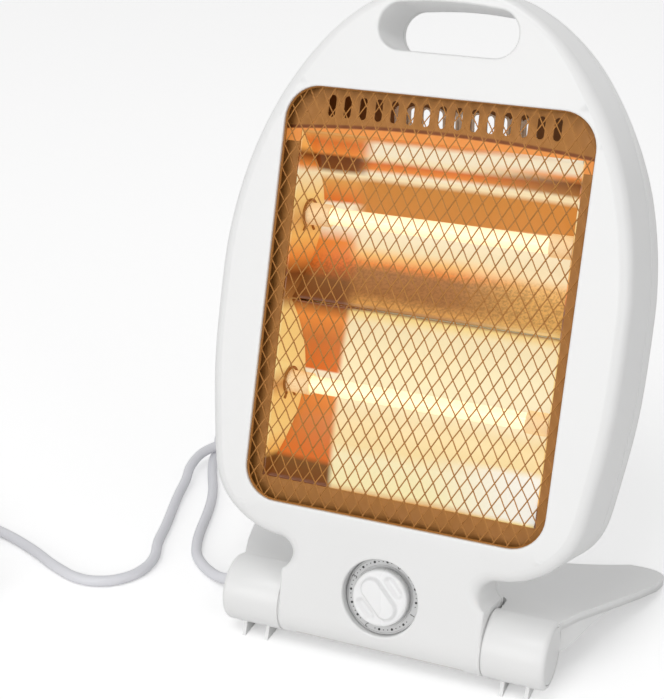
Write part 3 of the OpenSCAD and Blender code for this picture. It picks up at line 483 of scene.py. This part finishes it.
frontShell = makeFrontShell()
rearCover = makeRearCover()
for shell in (frontShell, rearCover):
    # its second material is the inside, painted dark brown: painted shade and orange glow where the inner walls show
    # through the slots
    addModifier(shell, "wall", "SOLIDIFY", thickness=shellSizes["wall"] / 1000, offset=-1, material_offset=1)
    addModifier(shell, "evenFace", "WEIGHTED_NORMAL", keep_sharp=True, weight=80)
print("housing shells")

# ---- the guard mesh ----
meshSizes = {"wide": 7.8, "high": 13.2, "wire": 0.76, "rim": 2, "plane": -23.0, "weave": 0.42, "under": 3,
             "clear": 8.2}


def insideGuard(x, z):
    # within the window and a little under its frame, but clear of the shell's rounded top
    s, edge = shellSizes, meshSizes["clear"]
    p = Vector((x, 0, z))
    oval = (x / (s["halfWidth"] - edge)) ** 2 + ((z - s["middle"]) / (s["rise"] - edge)) ** 2
    return (p - windowCore(p)).length < s["window"][2] + meshSizes["under"] and (z < s["middle"] or oval < 1)


def wireCurve(name, thick):
    data = bpy.data.curves.new(name, "CURVE")
    data.dimensions = "3D"
    data.bevel_depth = thick / 2
    data.bevel_resolution = 1
    data.use_fill_caps = True
    return data


def addWire(data, points, closed=False):
    spline = data.splines.new("POLY")
    spline.points.add(len(points) - 1)
    spline.use_cyclic_u = closed
    for knot, p in zip(spline.points, points):
        knot.co = (*p, 1)


def curvesToBmesh(*curves):
    bm = bmesh.new()
    for data in curves:
        spare = bpy.data.objects.new("spare", data)
        mesh = bpy.data.meshes.new_from_object(spare)
        bm.from_mesh(mesh)
        bpy.data.objects.remove(spare)
        bpy.data.meshes.remove(mesh)
        bpy.data.curves.remove(data)
    return bm


def makeGuard():
    s = meshSizes
    wires = wireCurve("wires", s["wire"])
    cuts = 4  # points between two crossings
    for side in (1, -1):
        for k in range(-40, 41):
            run = []
            for step in range(-40 * cuts, 40 * cuts + 1):
                other = step / cuts
                x = (k + other) * s["wide"] / 2
                z = side * (k - other) * s["high"] / 2 + shellSizes["window"][3]
                if insideGuard(x, z):
                    run.append((x, s["plane"] + side * s["weave"] * cos(pi * (k + other)), z))
            if len(run) > 2:
                addWire(wires, run)
    rim = wireCurve("rim", s["rim"])
    halfW, halfH, r, middle = shellSizes["window"]
    addWire(rim, [(x, s["plane"], z) for x, y, z in roundRing(halfW + 0.2, halfH + 0.2, r + 0.2, middle, 12)], True)
    return finishPiece(curvesToBmesh(wires, rim), "guardMesh", "housing", "bronze_mesh", inHousing, ["grille"],
                       crease=60, weld=0.0001)


makeGuard()
print("guard mesh")

# ---- the foot plate with its two drums ----
plateSizes = {"top": 19.85, "rim": 5.2, "dip": 2.2, "sheet": 2.2, "edge": 1.2,
              "sides": ((99.4, 6), (99.9, 12), (103, 20), (108.5, 35), (115.5, 56), (122, 76), (129, 98),
                        (134.5, 119), (136, 135.5)),
              "toe": (120, 135.5, 16), "arch": (264.2, 159), "cut": (63.5, 28, 6)}
drumSizes = {"in": 62.8, "out": 99.2, "radius": 20, "corner": 3, "wall": 2.4, "bore": 5, "disc": 16.9}
gussetSizes = {"start": 14, "drum": 19.6, "end": 71, "inner": 97.8, "rim": 14.8, "drop": 16.8,
               "flare": 0.55, "curve": 1.8}
finSizes = {"at": (73.5, 88.2), "thick": 2.2, "shape": ((-9, -16.5), (-13, -26), (11, -26), (13, -15))}


def plateOutline():
    s = plateSizes
    x, y, r = s["toe"]
    half = [Vector(p) for p in s["sides"]]
    half += [Vector((x + r * cos(radians(a)), y + r * sin(radians(a)))) for a in range(9, 91, 9)]
    half.append(Vector((x - 6, y + r - 0.4)))
    middle, arch = s["arch"]
    start = degrees(acos(-0.703))  # where the arch meets the toe's straight end
    for i in range(25):
        a = radians(-start + (start - 90) * i / 24)
        half.append(Vector((-arch * cos(a), middle + arch * sin(a))))
    cut, run, r = s["cut"]
    front = [Vector((0, run))]
    front += [Vector((cut - r + r * sin(radians(a)), run - r + r * cos(radians(a)))) for a in range(0, 91, 15)]
    return front + [Vector((cut, 6))] + half


def dipAt(y):
    return plateSizes["dip"] * (1 - ease(8, 32, y))


def polygonPrism(bm, points, thick, place):
    verts = [bm.verts.new(place @ Vector((x, y, z))) for x, y, z in points]
    face = bm.faces.new(verts)
    made = bmesh.ops.extrude_face_region(bm, geom=[face])["geom"]
    moved = [g for g in made if isinstance(g, bmesh.types.BMVert)]
    bmesh.ops.translate(bm, verts=moved, vec=place.to_3x3() @ Vector(thick))


def makePlate():
    s = plateSizes
    bm = bmesh.new()
    half = plateOutline()
    outline = half + [Vector((-p.x, p.y)) for p in reversed(half[1:-1])]
    outer = ringOf(bm, [(p.x, p.y, s["top"]) for p in outline])
    bmesh.ops.triangle_fill(bm, use_beauty=True, edges=outer, normal=(0, 0, 1))
    for y in range(8, 36, 3):
        bmesh.ops.bisect_plane(bm, geom=allOf(bm), dist=0.0005, plane_co=(0, y, 0), plane_no=(0, 1, 0))
    for v in bm.verts:
        v.co.z -= dipAt(v.co.y)
    # the rounded edge and the rim under it
    edges = [e for e in bm.edges if e.is_boundary]
    for down in (s["edge"], s["rim"] - s["edge"]):
        moved, edges = drawOn(bm, edges)
        bmesh.ops.translate(bm, verts=list(moved), vec=(0, 0, -down))
        for v in moved:  # the toe rests on the floor
            v.co.z = max(v.co.z, (v.co.y * sin(radians(slope)) - axleAt.z * 1000) / cos(radians(slope)))
    bmesh.ops.recalc_face_normals(bm, faces=bm.faces)
    piece = finishPiece(bm, "footPlate", "stand", "white_shell", inPlate, ["foot_plate"])
    addModifier(piece, "softEdge", "BEVEL", width=0.0011, segments=3, limit_method="ANGLE", angle_limit=radians(50))
    addModifier(piece, "sheet", "SOLIDIFY", thickness=s["sheet"] / 1000, offset=-1)
    return piece


def sideAt(y):
    for (x0, y0), (x1, y1) in zip(plateSizes["sides"], plateSizes["sides"][1:]):
        if y <= y1:
            return x0 + (x1 - x0) * (y - y0) / (y1 - y0)


def gusset(side):
    # the curved web from the drum to the plate's flared side
    s = gussetSizes
    bm = bmesh.new()
    rings = []
    for k in range(17):
        y = s["start"] + (s["end"] - s["start"]) * k / 16
        x = min(s["inner"] + (y - s["start"]) * s["flare"], sideAt(y) - 0.3)
        bottom = s["rim"] - s["drop"] * min(1, (s["end"] - y) / (s["end"] - s["drum"])) ** s["curve"]
        rings.append(ringOf(bm, [(side * (x - a), y, b) for a, b in ((0, 17), (2, 17), (2, bottom), (0, bottom))]))
    bridgeRings(bm, rings)
    for ring in (rings[0], rings[-1]):
        bmesh.ops.edgeloop_fill(bm, edges=ring)
    bmesh.ops.rotate(bm, verts=bm.verts, cent=(0, 0, 0), matrix=Matrix.Rotation(radians(-slope), 3, "X"))
    return bm


def makeDrums():
    s = drumSizes
    near, far, r, c = s["in"], s["out"], s["radius"], s["corner"]
    both = bmesh.new()
    for side in (1, -1):
        profile = [(s["bore"], near), (r - 0.6, near), (r - 0.15, near + 0.15), (r, near + 0.6)]
        profile += [(r - c + c * cos(radians(a)), far - c + c * sin(radians(a))) for a in range(0, 91, 15)]
        profile += [(s["disc"] + 0.5, far), (s["disc"], far - 0.5), (s["disc"], far - 3), (r - s["wall"], far - 4),
                    (r - s["wall"], near + 2.6), (s["bore"], near + 2.6)]
        bm = spunProfile([(a, side * b) for a, b in profile], 96, "X")
        joinInto(both, bm)
        for x in finSizes["at"]:
            middle = Matrix.Translation((side * x - finSizes["thick"] / 2, 0, 0))
            polygonPrism(both, [(0, y, z) for y, z in finSizes["shape"]], (finSizes["thick"], 0, 0), middle)
        joinInto(both, gusset(side))
    # the boss that the cord leaves through
    place = Matrix.Translation((-near - 5.5, 24.5, -13)) @ Matrix.Diagonal((9, 19, 14, 1))
    boss = bmesh.new()
    bmesh.ops.create_cube(boss, size=1, matrix=place)
    bmesh.ops.bevel(boss, geom=boss.edges[:], offset=1, offset_type="OFFSET", segments=2, profile=0.5,
                    affect="EDGES", material=-1)
    joinInto(both, boss)
    return finishPiece(both, "footDrums", "stand", "white_shell", onAxle, weld=0.0005)


# ---- the two curved reflectors ----
troughSizes = {"front": -26.5, "deep": 48, "ridgeDeep": 20, "flangeDeep": 10.2, "ridge": 179,
               "high": 229, "low": 129, "top": 277, "foot": 74, "halfWidth": 83, "splay": 0.1, "sheet": 0.8}


def troughAt(z):
    s = troughSizes
    upper = z > s["ridge"]
    middle = s["high"] if upper else s["low"]
    inner = z < middle if upper else z > middle
    edge = s["ridgeDeep"] if inner else s["flangeDeep"]
    run = abs(s["ridge"] - middle) if inner else (s["top"] - middle if upper else middle - s["foot"])
    return s["front"] + s["deep"] - (s["deep"] - edge) * ((z - middle) / run) ** 2


def makeTrough(name, low, high, node):
    s = troughSizes
    bm = bmesh.new()
    bmesh.ops.create_grid(bm, x_segments=40, y_segments=60, size=1)
    for v in bm.verts:
        z = low + (high - low) * (v.co.y + 1) / 2
        y = troughAt(z)
        half = s["halfWidth"] - s["splay"] * (y - s["front"] - s["flangeDeep"]) - 1.1
        edge = min(1, (1 - abs(v.co.x)) * 5, (1 - abs(v.co.y)) * 5)
        wave = 0.35 * edge * (sin(v.co.x * 5.3 + z * 0.05) + 0.6 * sin(v.co.x * 11 - z * 0.11))
        v.co = Vector((v.co.x * half, y + wave, z))
    piece = finishPiece(bm, name, "housing", "gold_reflector", inHousing, [node])
    addModifier(piece, "sheet", "SOLIDIFY", thickness=s["sheet"] / 1000, offset=-1)
    return piece


upperTrough = makeTrough("upperTrough", troughSizes["ridge"] + 0.4, troughSizes["top"], "reflector_upper")
lowerTrough = makeTrough("lowerTrough", troughSizes["foot"], troughSizes["ridge"] - 0.4, "reflector_lower")
print("reflectors")

# ---- the dial's scale and its knob ----
scaleSizes = {"at": (0, 17.4), "front": -14.7, "back": -13.5, "inner": 15, "outer": 22.7, "marksAt": 20,
              "dot": 0.75, "digit": 4.2}
knobSizes = {"front": -22.2, "back": -15, "radius": 16.5, "edge": 1.6, "turn": 45, "bar": (6.6, 7, 3.2),
             "scoop": (3, 4.4, 10.9, 2.4)}


def makeScale():
    s = scaleSizes
    f, b, i, o = s["front"], s["back"], s["inner"], s["outer"]
    profile = [(i, b), (i, f + 0.2), (i + 0.2, f), (17.3, f), (17.5, f - 0.25), (17.9, f - 0.25), (18.1, f),
               (o - 1.1, f), (o - 0.9, f - 0.3), (o - 0.3, f - 0.3), (o, f + 0.1), (o, b)]
    bm = spunProfile(profile, 96, "Y")
    bmesh.ops.translate(bm, verts=bm.verts, vec=(s["at"][0], 0, s["at"][1]))
    return finishPiece(bm, "dialScale", "housing", "silver_ring", inHousing, ["dial_ring"], crease=35)


def markAt(a):
    s = scaleSizes
    x, z = s["at"]
    return Matrix.Translation((x + s["marksAt"] * sin(a), s["front"] - 0.03, z + s["marksAt"] * cos(a)))


def makeMarks():
    s = scaleSizes
    bm = bmesh.new()
    flat = Matrix.Rotation(pi / 2, 4, "X")
    for k in range(48):
        a = radians(7.5 * k)
        if k % 12 == 3 or k % 12 in (2, 4) and k < 30:
            continue  # room for the numbers
        r = s["dot"] if k % 3 == 0 else s["dot"] * 0.45
        bmesh.ops.create_cone(bm, cap_ends=True, segments=10, radius1=r, radius2=r, depth=0.06,
                              matrix=markAt(a) @ flat)
    for k, digit in enumerate("0123"):
        data = bpy.data.curves.new("digit", "FONT")
        data.body = digit
        data.size = s["digit"]
        data.align_x, data.align_y = "CENTER", "CENTER"
        data.extrude = 0.03
        number = curvesToBmesh(data)
        a = radians(22.5 + 90 * k)
        bmesh.ops.transform(number, verts=number.verts, matrix=markAt(a) @ Matrix.Rotation(a, 4, "Y") @ flat)
        joinInto(bm, number)
    return finishPiece(bm, "dialMarks", "housing", "black_plastic", inHousing, weld=0.0001)


def makeKnob():
    s = knobSizes
    f, r, e = s["front"], s["radius"], s["edge"]
    profile = [(i * 0.45, f) for i in range(int((r - e) / 0.45) + 1)]
    profile += [(r - e + e * sin(radians(a)), f + e * (1 - cos(radians(a)))) for a in (0, 20, 40, 60, 80, 90)]
    profile += [(r, f + 3), (r, s["back"] - 0.3), (r - 0.3, s["back"]), (0, s["back"])]
    bm = spunProfile(profile, 144, "Y", closed=False)
    along = Vector((-sin(radians(s["turn"])), 0, cos(radians(s["turn"]))))
    across = Vector((along.z, 0, -along.x))
    barHalf, barRun, barHigh = s["bar"]
    scoopHalf, scoopRun, scoopAt, scoopDeep = s["scoop"]
    for v in bm.verts:
        if v.co.y > f + 1:
            continue
        u, w = v.co.dot(along), v.co.dot(across)
        bar = hypot(max(abs(u) - barRun, 0), w) - barHalf
        scoop = hypot(max(abs(u) - scoopRun, 0), abs(w) - scoopAt) - scoopHalf
        v.co.y += -barHigh * (1 - ease(-1.5, 0.4, bar)) + scoopDeep * (1 - ease(-2.8, 0.4, scoop))
    bmesh.ops.translate(bm, verts=bm.verts, vec=(0, 0, scaleSizes["at"][1]))
    return finishPiece(bm, "dialKnob", "dial", "white_knob", inHousing, ["knob"], crease=55, weld=0.0005)


makeScale()
makeMarks()
makeKnob()
print("dial and knob")

# ---- round clips that hold the tube ends, and the lips between barrel and drums ----
clipSizes = {"x": 79.6, "y": 3.5, "heights": (229, 129), "ring": 8.2, "wire": 1.7, "lip": (62.15, 62.7, 16, 19.2)}


def makeClips():
    s = clipSizes
    bands = wireCurve("bands", s["wire"])
    for side in (1, -1):
        for z in s["heights"]:
            points = []
            for i in range(25):
                a = radians(-60 + 300 * i / 24)
                out, up = s["ring"] * cos(a), s["ring"] * sin(a)
                points.append((side * (s["x"] - 0.1 * out), s["y"] + out, z + up))
            (x0, y0, z0), (x1, y1, z1) = points[0], points[-1]
            addWire(bands, [(x0, y0 + 3, z0 - 2)] + points + [(x1, y1 - 2, z1 - 3)])
    return finishPiece(curvesToBmesh(bands), "tubeClips", "housing", "bronze_mesh", inHousing, weld=0.0001)


def makeLips():
    near, far, inner, outer = clipSizes["lip"]
    both = bmesh.new()
    for side in (1, -1):
        bm = spunProfile([(inner, side * near), (outer - 0.2, side * near), (outer, side * (near + far) / 2),
                          (outer - 0.2, side * far), (inner, side * far)], 72, "X")
        joinInto(both, bm)
    return finishPiece(both, "drumLips", "stand", "white_shell", onAxle)


makeClips()
makeLips()
makePlate()
makeDrums()
print("clips, lips and foot")


# ---- materials ----
def newGroup(name, inputs, outputs):
    group = bpy.data.node_groups.new(name, "ShaderNodeTree")
    for label, value in inputs:
        group.interface.new_socket(label, in_out="INPUT", socket_type="NodeSocketFloat").default_value = value
    for label in outputs:
        group.interface.new_socket(label, in_out="OUTPUT", socket_type="NodeSocketFloat")
    return group, group.nodes.new("NodeGroupInput"), group.nodes.new("NodeGroupOutput")


def addRange(tree, value, start, end, low=0, high=1, kind="LINEAR"):
    return addNode(tree, "MapRange", {"interpolation_type": kind},
                   {"Value": value, "From Min": start, "From Max": end, "To Min": low,
                    "To Max": high}).outputs["Result"]


def mixIn(tree, first, second, share):
    return addNode(tree, "Mix", {"data_type": "RGBA"}, {"Factor": share, "A": first, "B": second}).outputs["Result"]


def makeGrain():
    # fine moulded texture: a height, and a slow cloud for tint and gloss
    group, given, made = newGroup("mouldedGrain", [("Scale", 900), ("Cloud Scale", 14)], ["Height", "Cloud"])
    place = addNode(group, "TexCoord").outputs["Object"]
    for label, scale, detail in (("Height", "Scale", 2.0), ("Cloud", "Cloud Scale", 3.0)):
        noise = addNode(group, "TexNoise", values={"Vector": place, "Scale": given.outputs[scale], "Detail": detail})
        group.links.new(noise.outputs["Fac"], made.inputs[label])
    return group


grain = makeGrain()


def newMaterial(name, look):
    # look: two tints the cloud runs between, gloss range, grain size and depth
    mat = bpy.data.materials.new(name)
    mat.use_nodes = True
    tree = mat.node_tree
    noise = addNode(tree, "Group", {"node_tree": grain},
                    {"Scale": look.get("grain", 900), "Cloud Scale": look.get("cloud", 14)}).outputs
    first, second = [(*tint, 1) for tint in look["tints"]]
    bump = addNode(tree, "Bump", values={"Strength": 1.0, "Distance": look.get("depth", 0.00002),
                                         "Height": noise["Height"]})
    feed(tree, tree.nodes["Principled BSDF"], {
        **look.get("shader", {}), "Normal": bump.outputs["Normal"],
        "Base Color": mixIn(tree, first, second, noise["Cloud"]),
        "Roughness": addRange(tree, noise["Cloud"], 0.3, 0.7, *look["gloss"])})
    return mat


looks = {
    "white_shell": {"tints": ((0.83, 0.83, 0.825), (0.86, 0.86, 0.855)), "gloss": (0.28, 0.36), "depth": 0.00001},
    # painted shade and glow: dark brown for the shells' inner faces
    "inside": {"tints": ((0.16, 0.075, 0.02), (0.26, 0.13, 0.045)), "gloss": (0.5, 0.65), "cloud": 30},
    "white_knob": {"tints": ((0.85, 0.85, 0.85), (0.88, 0.88, 0.88)), "gloss": (0.22, 0.3), "depth": 0.00001},
    "zinc_steel": {"tints": ((0.5, 0.51, 0.53), (0.62, 0.63, 0.65)), "gloss": (0.28, 0.42), "cloud": 60,
                   "shader": {"Metallic": 1.0}},
    "black_plastic": {"tints": ((0.012, 0.012, 0.012), (0.02, 0.02, 0.02)), "gloss": (0.45, 0.6), "depth": 0.00004},
    "bronze_mesh": {"tints": ((0.33, 0.13, 0.022), (0.47, 0.21, 0.045)), "gloss": (0.42, 0.55), "cloud": 80,
                    "shader": {"Metallic": 0.35}},
    "gold_reflector": {"tints": ((0.8, 0.42, 0.12), (0.9, 0.55, 0.2)), "gloss": (0.2, 0.34),
                       "shader": {"Metallic": 0.7}},
    "quartz": {"tints": ((0.86, 0.78, 0.58), (0.92, 0.84, 0.64)), "gloss": (0.05, 0.1), "depth": 0.0,
               "shader": {"Transmission Weight": 0.35, "Emission Color": (1, 0.86, 0.58, 1),
                          "Emission Strength": 0.42}},
    "filament": {"tints": ((1, 0.5, 0.2), (1, 0.6, 0.3)), "gloss": (0.4, 0.5), "depth": 0.0,
                 "shader": {"Emission Color": (1, 0.8, 0.45, 1), "Emission Strength": 0.9}},
    # painted glow: orange emission on the ceramic holders for the tubes' light falling on them
    "ceramic": {"tints": ((0.8, 0.62, 0.36), (0.86, 0.7, 0.46)), "gloss": (0.5, 0.65),
                "shader": {"Emission Color": (1, 0.66, 0.3, 1), "Emission Strength": 0.28}},
    "silver_ring": {"tints": ((0.47, 0.47, 0.47), (0.58, 0.58, 0.58)), "gloss": (0.3, 0.4), "cloud": 90,
                    "shader": {"Metallic": 0.3}},
    "ivory_block": {"tints": ((0.78, 0.74, 0.6), (0.84, 0.8, 0.68)), "gloss": (0.4, 0.5)},
    "wire_sleeve": {"tints": ((0.5, 0.46, 0.4), (0.6, 0.56, 0.5)), "gloss": (0.6, 0.8), "grain": 2500,
                    "depth": 0.0001},
    "cord_grey": {"tints": ((0.74, 0.74, 0.78), (0.8, 0.8, 0.83)), "gloss": (0.34, 0.44), "cloud": 30},
    "brass_pins": {"tints": ((0.62, 0.43, 0.14), (0.72, 0.52, 0.2)), "gloss": (0.2, 0.32), "cloud": 90,
                   "shader": {"Metallic": 1.0}},
}


def rgb(r, g, b, share=1):
    # a screen colour, 0 to 255, as the shader's own
    return (*[share * (((c / 255 + 0.055) / 1.055) ** 2.4 if c > 10 else c / 3300) for c in (r, g, b)], 1)


glowSizes = {"strength": 0.66, "dim": 0.3, "skew": 0.42, "flange": 16.3, "rightFade": (12, 84), "rough": 0.32}


def makeHousingPlace():
    # sideways place and height above the axle along the face, in millimetres
    group, given, made = newGroup("housingPlace", [("Waviness", 0), ("Skew", 0)], ["Across", "Up"])
    coords = addNode(group, "TexCoord").outputs["Object"]
    turned = addNode(group, "Mapping", values={
        "Vector": coords, "Scale": (1000, 1000, 1000), "Rotation": (radians(lean), 0, 0),
        "Location": Matrix.Rotation(radians(lean), 3, "X") @ (axleAt * -1000)})
    parts = addNode(group, "SeparateXYZ", values={0: turned.outputs["Vector"]}).outputs
    slow = addNode(group, "TexNoise", values={"Vector": coords, "Scale": 16.0, "Detail": 2.0})
    swing = addMath(group, "SUBTRACT", slow.outputs["Fac"], 0.5)
    fromFlange = addMath(group, "ADD", parts["Y"], glowSizes["flange"])
    feed(group, made, {
        "Up": addMath(group, "MULTIPLY_ADD", swing, given.outputs["Waviness"], parts["Z"]),
        "Across": addMath(group, "MULTIPLY_ADD", fromFlange, given.outputs["Skew"], parts["X"])})
    return group


housingPlace = makeHousingPlace()


def addRamp(tree, height, stops, low, high):
    node = addNode(tree, "ValToRGB", values={"Fac": height})
    ramp = node.color_ramp
    for z, colour in stops[1:-1]:
        ramp.elements.new((z - low) / (high - low))
    for element, (z, colour) in zip(ramp.elements, stops):
        element.color = rgb(*colour)
    return node.outputs["Color"]


def addGrained(tree, colour, up, span):
    # dark brown specks mixed into the painted glow between two heights
    rise = addRange(tree, up, span[0], span[0] + 4)
    fall = addRange(tree, up, span[1] - 6, span[1], 1, 0)
    coords = addNode(tree, "TexCoord").outputs["Object"]
    fine = addNode(tree, "TexNoise", values={"Vector": coords, "Scale": 620.0, "Detail": 3.0})
    contrast = addRange(tree, fine.outputs["Fac"], 0.42, 0.62, 0, 0.45)
    share = addMath(tree, "MULTIPLY", contrast, addMath(tree, "MULTIPLY", rise, fall))
    return mixIn(tree, colour, rgb(118, 72, 30), share)


def makeGlow(name, look):
    # painted reflections of the tubes' glow on a polished sheet, in its colour and its emission:
    # three runs of colour up the sheet, from the left, the middle and the right, with a grained part
    mat = bpy.data.materials.new(name)
    mat.use_nodes = True
    tree = mat.node_tree
    place = addNode(tree, "Group", {"node_tree": housingPlace},
                    {"Waviness": look["waves"], "Skew": glowSizes["skew"]}).outputs
    low, high = look["span"]
    height = addRange(tree, place["Up"], low, high)
    made = addRamp(tree, height, look["middle"], low, high)
    for key, fade in (("left", look["leftFade"]), ("right", glowSizes["rightFade"])):
        if key in look:
            colour = addRamp(tree, height, look[key], low, high)
            made = mixIn(tree, made, colour, addRange(tree, place["Across"], *fade, kind="SMOOTHSTEP"))
    if "grained" in look:
        made = addGrained(tree, made, place["Up"], look["grained"])
    dim = addNode(tree, "Mix", {"data_type": "RGBA", "blend_type": "MULTIPLY"},
                  {"Factor": 1.0, "A": made, "B": (*[glowSizes["dim"]] * 3, 1)})
    feed(tree, tree.nodes["Principled BSDF"], {
        "Base Color": dim.outputs["Result"], "Roughness": glowSizes["rough"],
        "Emission Color": made, "Emission Strength": glowSizes["strength"]})
    return mat


# heights of the painted glow's top edge and of the painted dark line above it, and their sag to the sides
stripSizes = {"from": (270, 270.1), "glow": (281.4, 282.2), "line": (283.4, 284.2), "sag": 0.0006}


def makeStrip(look):
    # the flange: bronze, and below an arched painted dark line the painted glow again, emissive
    s = stripSizes
    mat = newMaterial("stripGlow", look)
    tree = mat.node_tree
    shader = tree.nodes["Principled BSDF"]
    place = addNode(tree, "Group", {"node_tree": housingPlace}).outputs
    square = addMath(tree, "MULTIPLY", place["Across"], place["Across"])
    bend = addMath(tree, "MULTIPLY_ADD", square, s["sag"], place["Up"])
    inside = addRange(tree, place["Up"], *s["from"])
    # painted glow below the arched line and a painted dark line above it
    lit, dark = [addMath(tree, "MULTIPLY", addRange(tree, bend, *s[key], 1, 0), inside) for key in ("glow", "line")]
    colour = mixIn(tree, shader.inputs["Base Color"].links[0].from_socket, rgb(128, 70, 26), dark)
    feed(tree, shader, {
        "Base Color": mixIn(tree, colour, rgb(240, 150, 70, glowSizes["dim"]), lit),
        "Emission Strength": addMath(tree, "MULTIPLY", lit, glowSizes["strength"]),
        "Emission Color": rgb(242, 152, 72)})
    return mat


# the painted glow's tones that come more than once
whiteHot, butter, creamWhite = (255, 254, 246), (255, 244, 206), (253, 242, 212)
cream, paleGold, yellow = (252, 234, 190), (252, 228, 170), (250, 212, 136)
peach, apricot, tan = (250, 196, 118), (250, 190, 100), (226, 163, 86)
orange, deepOrange = (240, 142, 62), (224, 112, 42)
brown, darkBrown = (168, 110, 56), (118, 62, 22)
# painted reflections of the glowing tubes: colour ramps up the troughs and the reflector end plates
glowLooks = {
    "upper": {"span": (179, 277), "waves": 3, "leftFade": (-35, -46), "grained": (180, 207),
              "left": [(179, darkBrown), (192, (128, 80, 40)), (202, deepOrange), (214, orange), (222, creamWhite),
                       (236, creamWhite), (238, deepOrange), (250, tan), (254, cream), (257, darkBrown),
                       (264, (96, 40, 12)), (266, orange), (272, deepOrange), (277, tan)],
              "middle": [(179, (140, 88, 40)), (182, tan), (188, brown), (200, (176, 116, 62)), (204, orange),
                         (209, peach), (214, cream), (224, creamWhite), (231, creamWhite), (233, (206, 132, 58)),
                         (251, (205, 135, 60)), (254, cream), (256.5, creamWhite), (259, orange),
                         (262, deepOrange), (265, cream), (268, creamWhite), (273, creamWhite), (276, orange),
                         (277, orange)],
              "right": [(179, yellow), (184, (230, 176, 96)), (196, (236, 180, 98)), (203, peach), (209, cream),
                        (231, creamWhite), (234, (214, 138, 62)), (251, (214, 138, 60)), (254, cream),
                        (256, cream), (258, brown), (264, darkBrown), (267, orange), (270, creamWhite),
                        (277, creamWhite)]},
    "lower": {"span": (74, 179), "waves": 3, "leftFade": (-38, -43),
              "left": [(74, darkBrown), (84, (120, 76, 36)), (87, deepOrange), (104, (214, 124, 60)), (122, orange),
                       (123, creamWhite), (135, creamWhite), (136, deepOrange), (156, (206, 116, 56)),
                       (170, orange), (179, darkBrown)],
              "middle": [(74, tan), (77, (255, 244, 190)), (91, (255, 243, 198)), (97, paleGold),
                         (107, (252, 228, 174)), (118, cream), (128, butter), (150, (255, 240, 196)),
                         (170, cream), (177, (252, 220, 140)), (179, darkBrown)],
              "right": [(74, (250, 220, 140)), (76, whiteHot), (96, whiteHot), (100, paleGold),
                        (112, (252, 228, 172)), (124, creamWhite), (150, butter), (172, cream), (177, yellow),
                        (179, darkBrown)]},
    "ends": {"span": (70, 280), "waves": 4, "leftFade": (0, 0),
             "middle": [(70, darkBrown), (84, (124, 76, 34)), (88, apricot), (100, (255, 218, 136)),
                        (120, (250, 204, 120)), (128, (206, 140, 72)), (138, (254, 220, 140)), (172, (252, 214, 132)),
                        (180, brown), (194, darkBrown), (204, orange), (216, apricot), (226, (222, 160, 84)),
                        (240, (252, 212, 130)), (254, cream), (258, orange), (264, darkBrown), (268, (250, 180, 90)),
                        (280, yellow)]},
}
finishes = {name: newMaterial(name + "_finish", look) for name, look in looks.items()}
glows = {name: makeGlow(name + "Glow", look) for name, look in glowLooks.items()}
stripGlow = makeStrip(looks["bronze_mesh"])
slotOf = {part["node"]: part["material_slot"] for part in frame["record"]["subparts"]}
for node, obj in frame["nodes"].items():
    obj.data.materials.clear()
    obj.data.materials.append(glows["ends"] if node.startswith("reflector_end") else finishes[slotOf[node]])
for obj, slot in dressed:
    obj.data.materials.append(finishes[slot])
for shell in (frontShell, rearCover):
    shell.data.materials.append(finishes["inside"])
# the flange gets the painted glow and painted dark line
frame["nodes"]["reflector_frame"].data.materials[0] = stripGlow
upperTrough.data.materials[0] = glows["upper"]
lowerTrough.data.materials[0] = glows["lower"]
print("materials")

# ---- floor ----
bm = bmesh.new()
bmesh.ops.create_grid(bm, x_segments=1, y_segments=1, size=6)
floorMesh = bpy.data.meshes.new("floor")
bm.to_mesh(floorMesh)
bm.free()
floor = bpy.data.objects.new("floor", floorMesh)
scene.collection.objects.link(floor)
floorMat = bpy.data.materials.new("paleFloor")
floorMat.use_nodes = True
tree = floorMat.node_tree
# white away from the shadow for the camera alone, so that it adds no light to the object
seen = addNode(tree, "LightPath").outputs["Is Camera Ray"]
feed(tree, tree.nodes["Principled BSDF"], {
    "Base Color": (0.9, 0.9, 0.9, 1), "Roughness": 0.9, "Emission Color": (1, 1, 1, 1),
    "Emission Strength": addMath(tree, "MULTIPLY", seen, levels["floorLift"])})
floorMesh.materials.append(floorMat)


# ---- cord length ----
def cordLength(obj):
    spline = obj.data.splines[0]
    total = 0
    for a, b in zip(spline.bezier_points, spline.bezier_points[1:]):
        run = interpolate_bezier(a.co, a.handle_right, b.handle_left, b.co, 24)
        total += sum((q - p).length for p, q in zip(run, run[1:]))
    return total


bpy.context.view_layer.update()
length = cordLength(cordPiece)
print("cord length", round(length, 4))
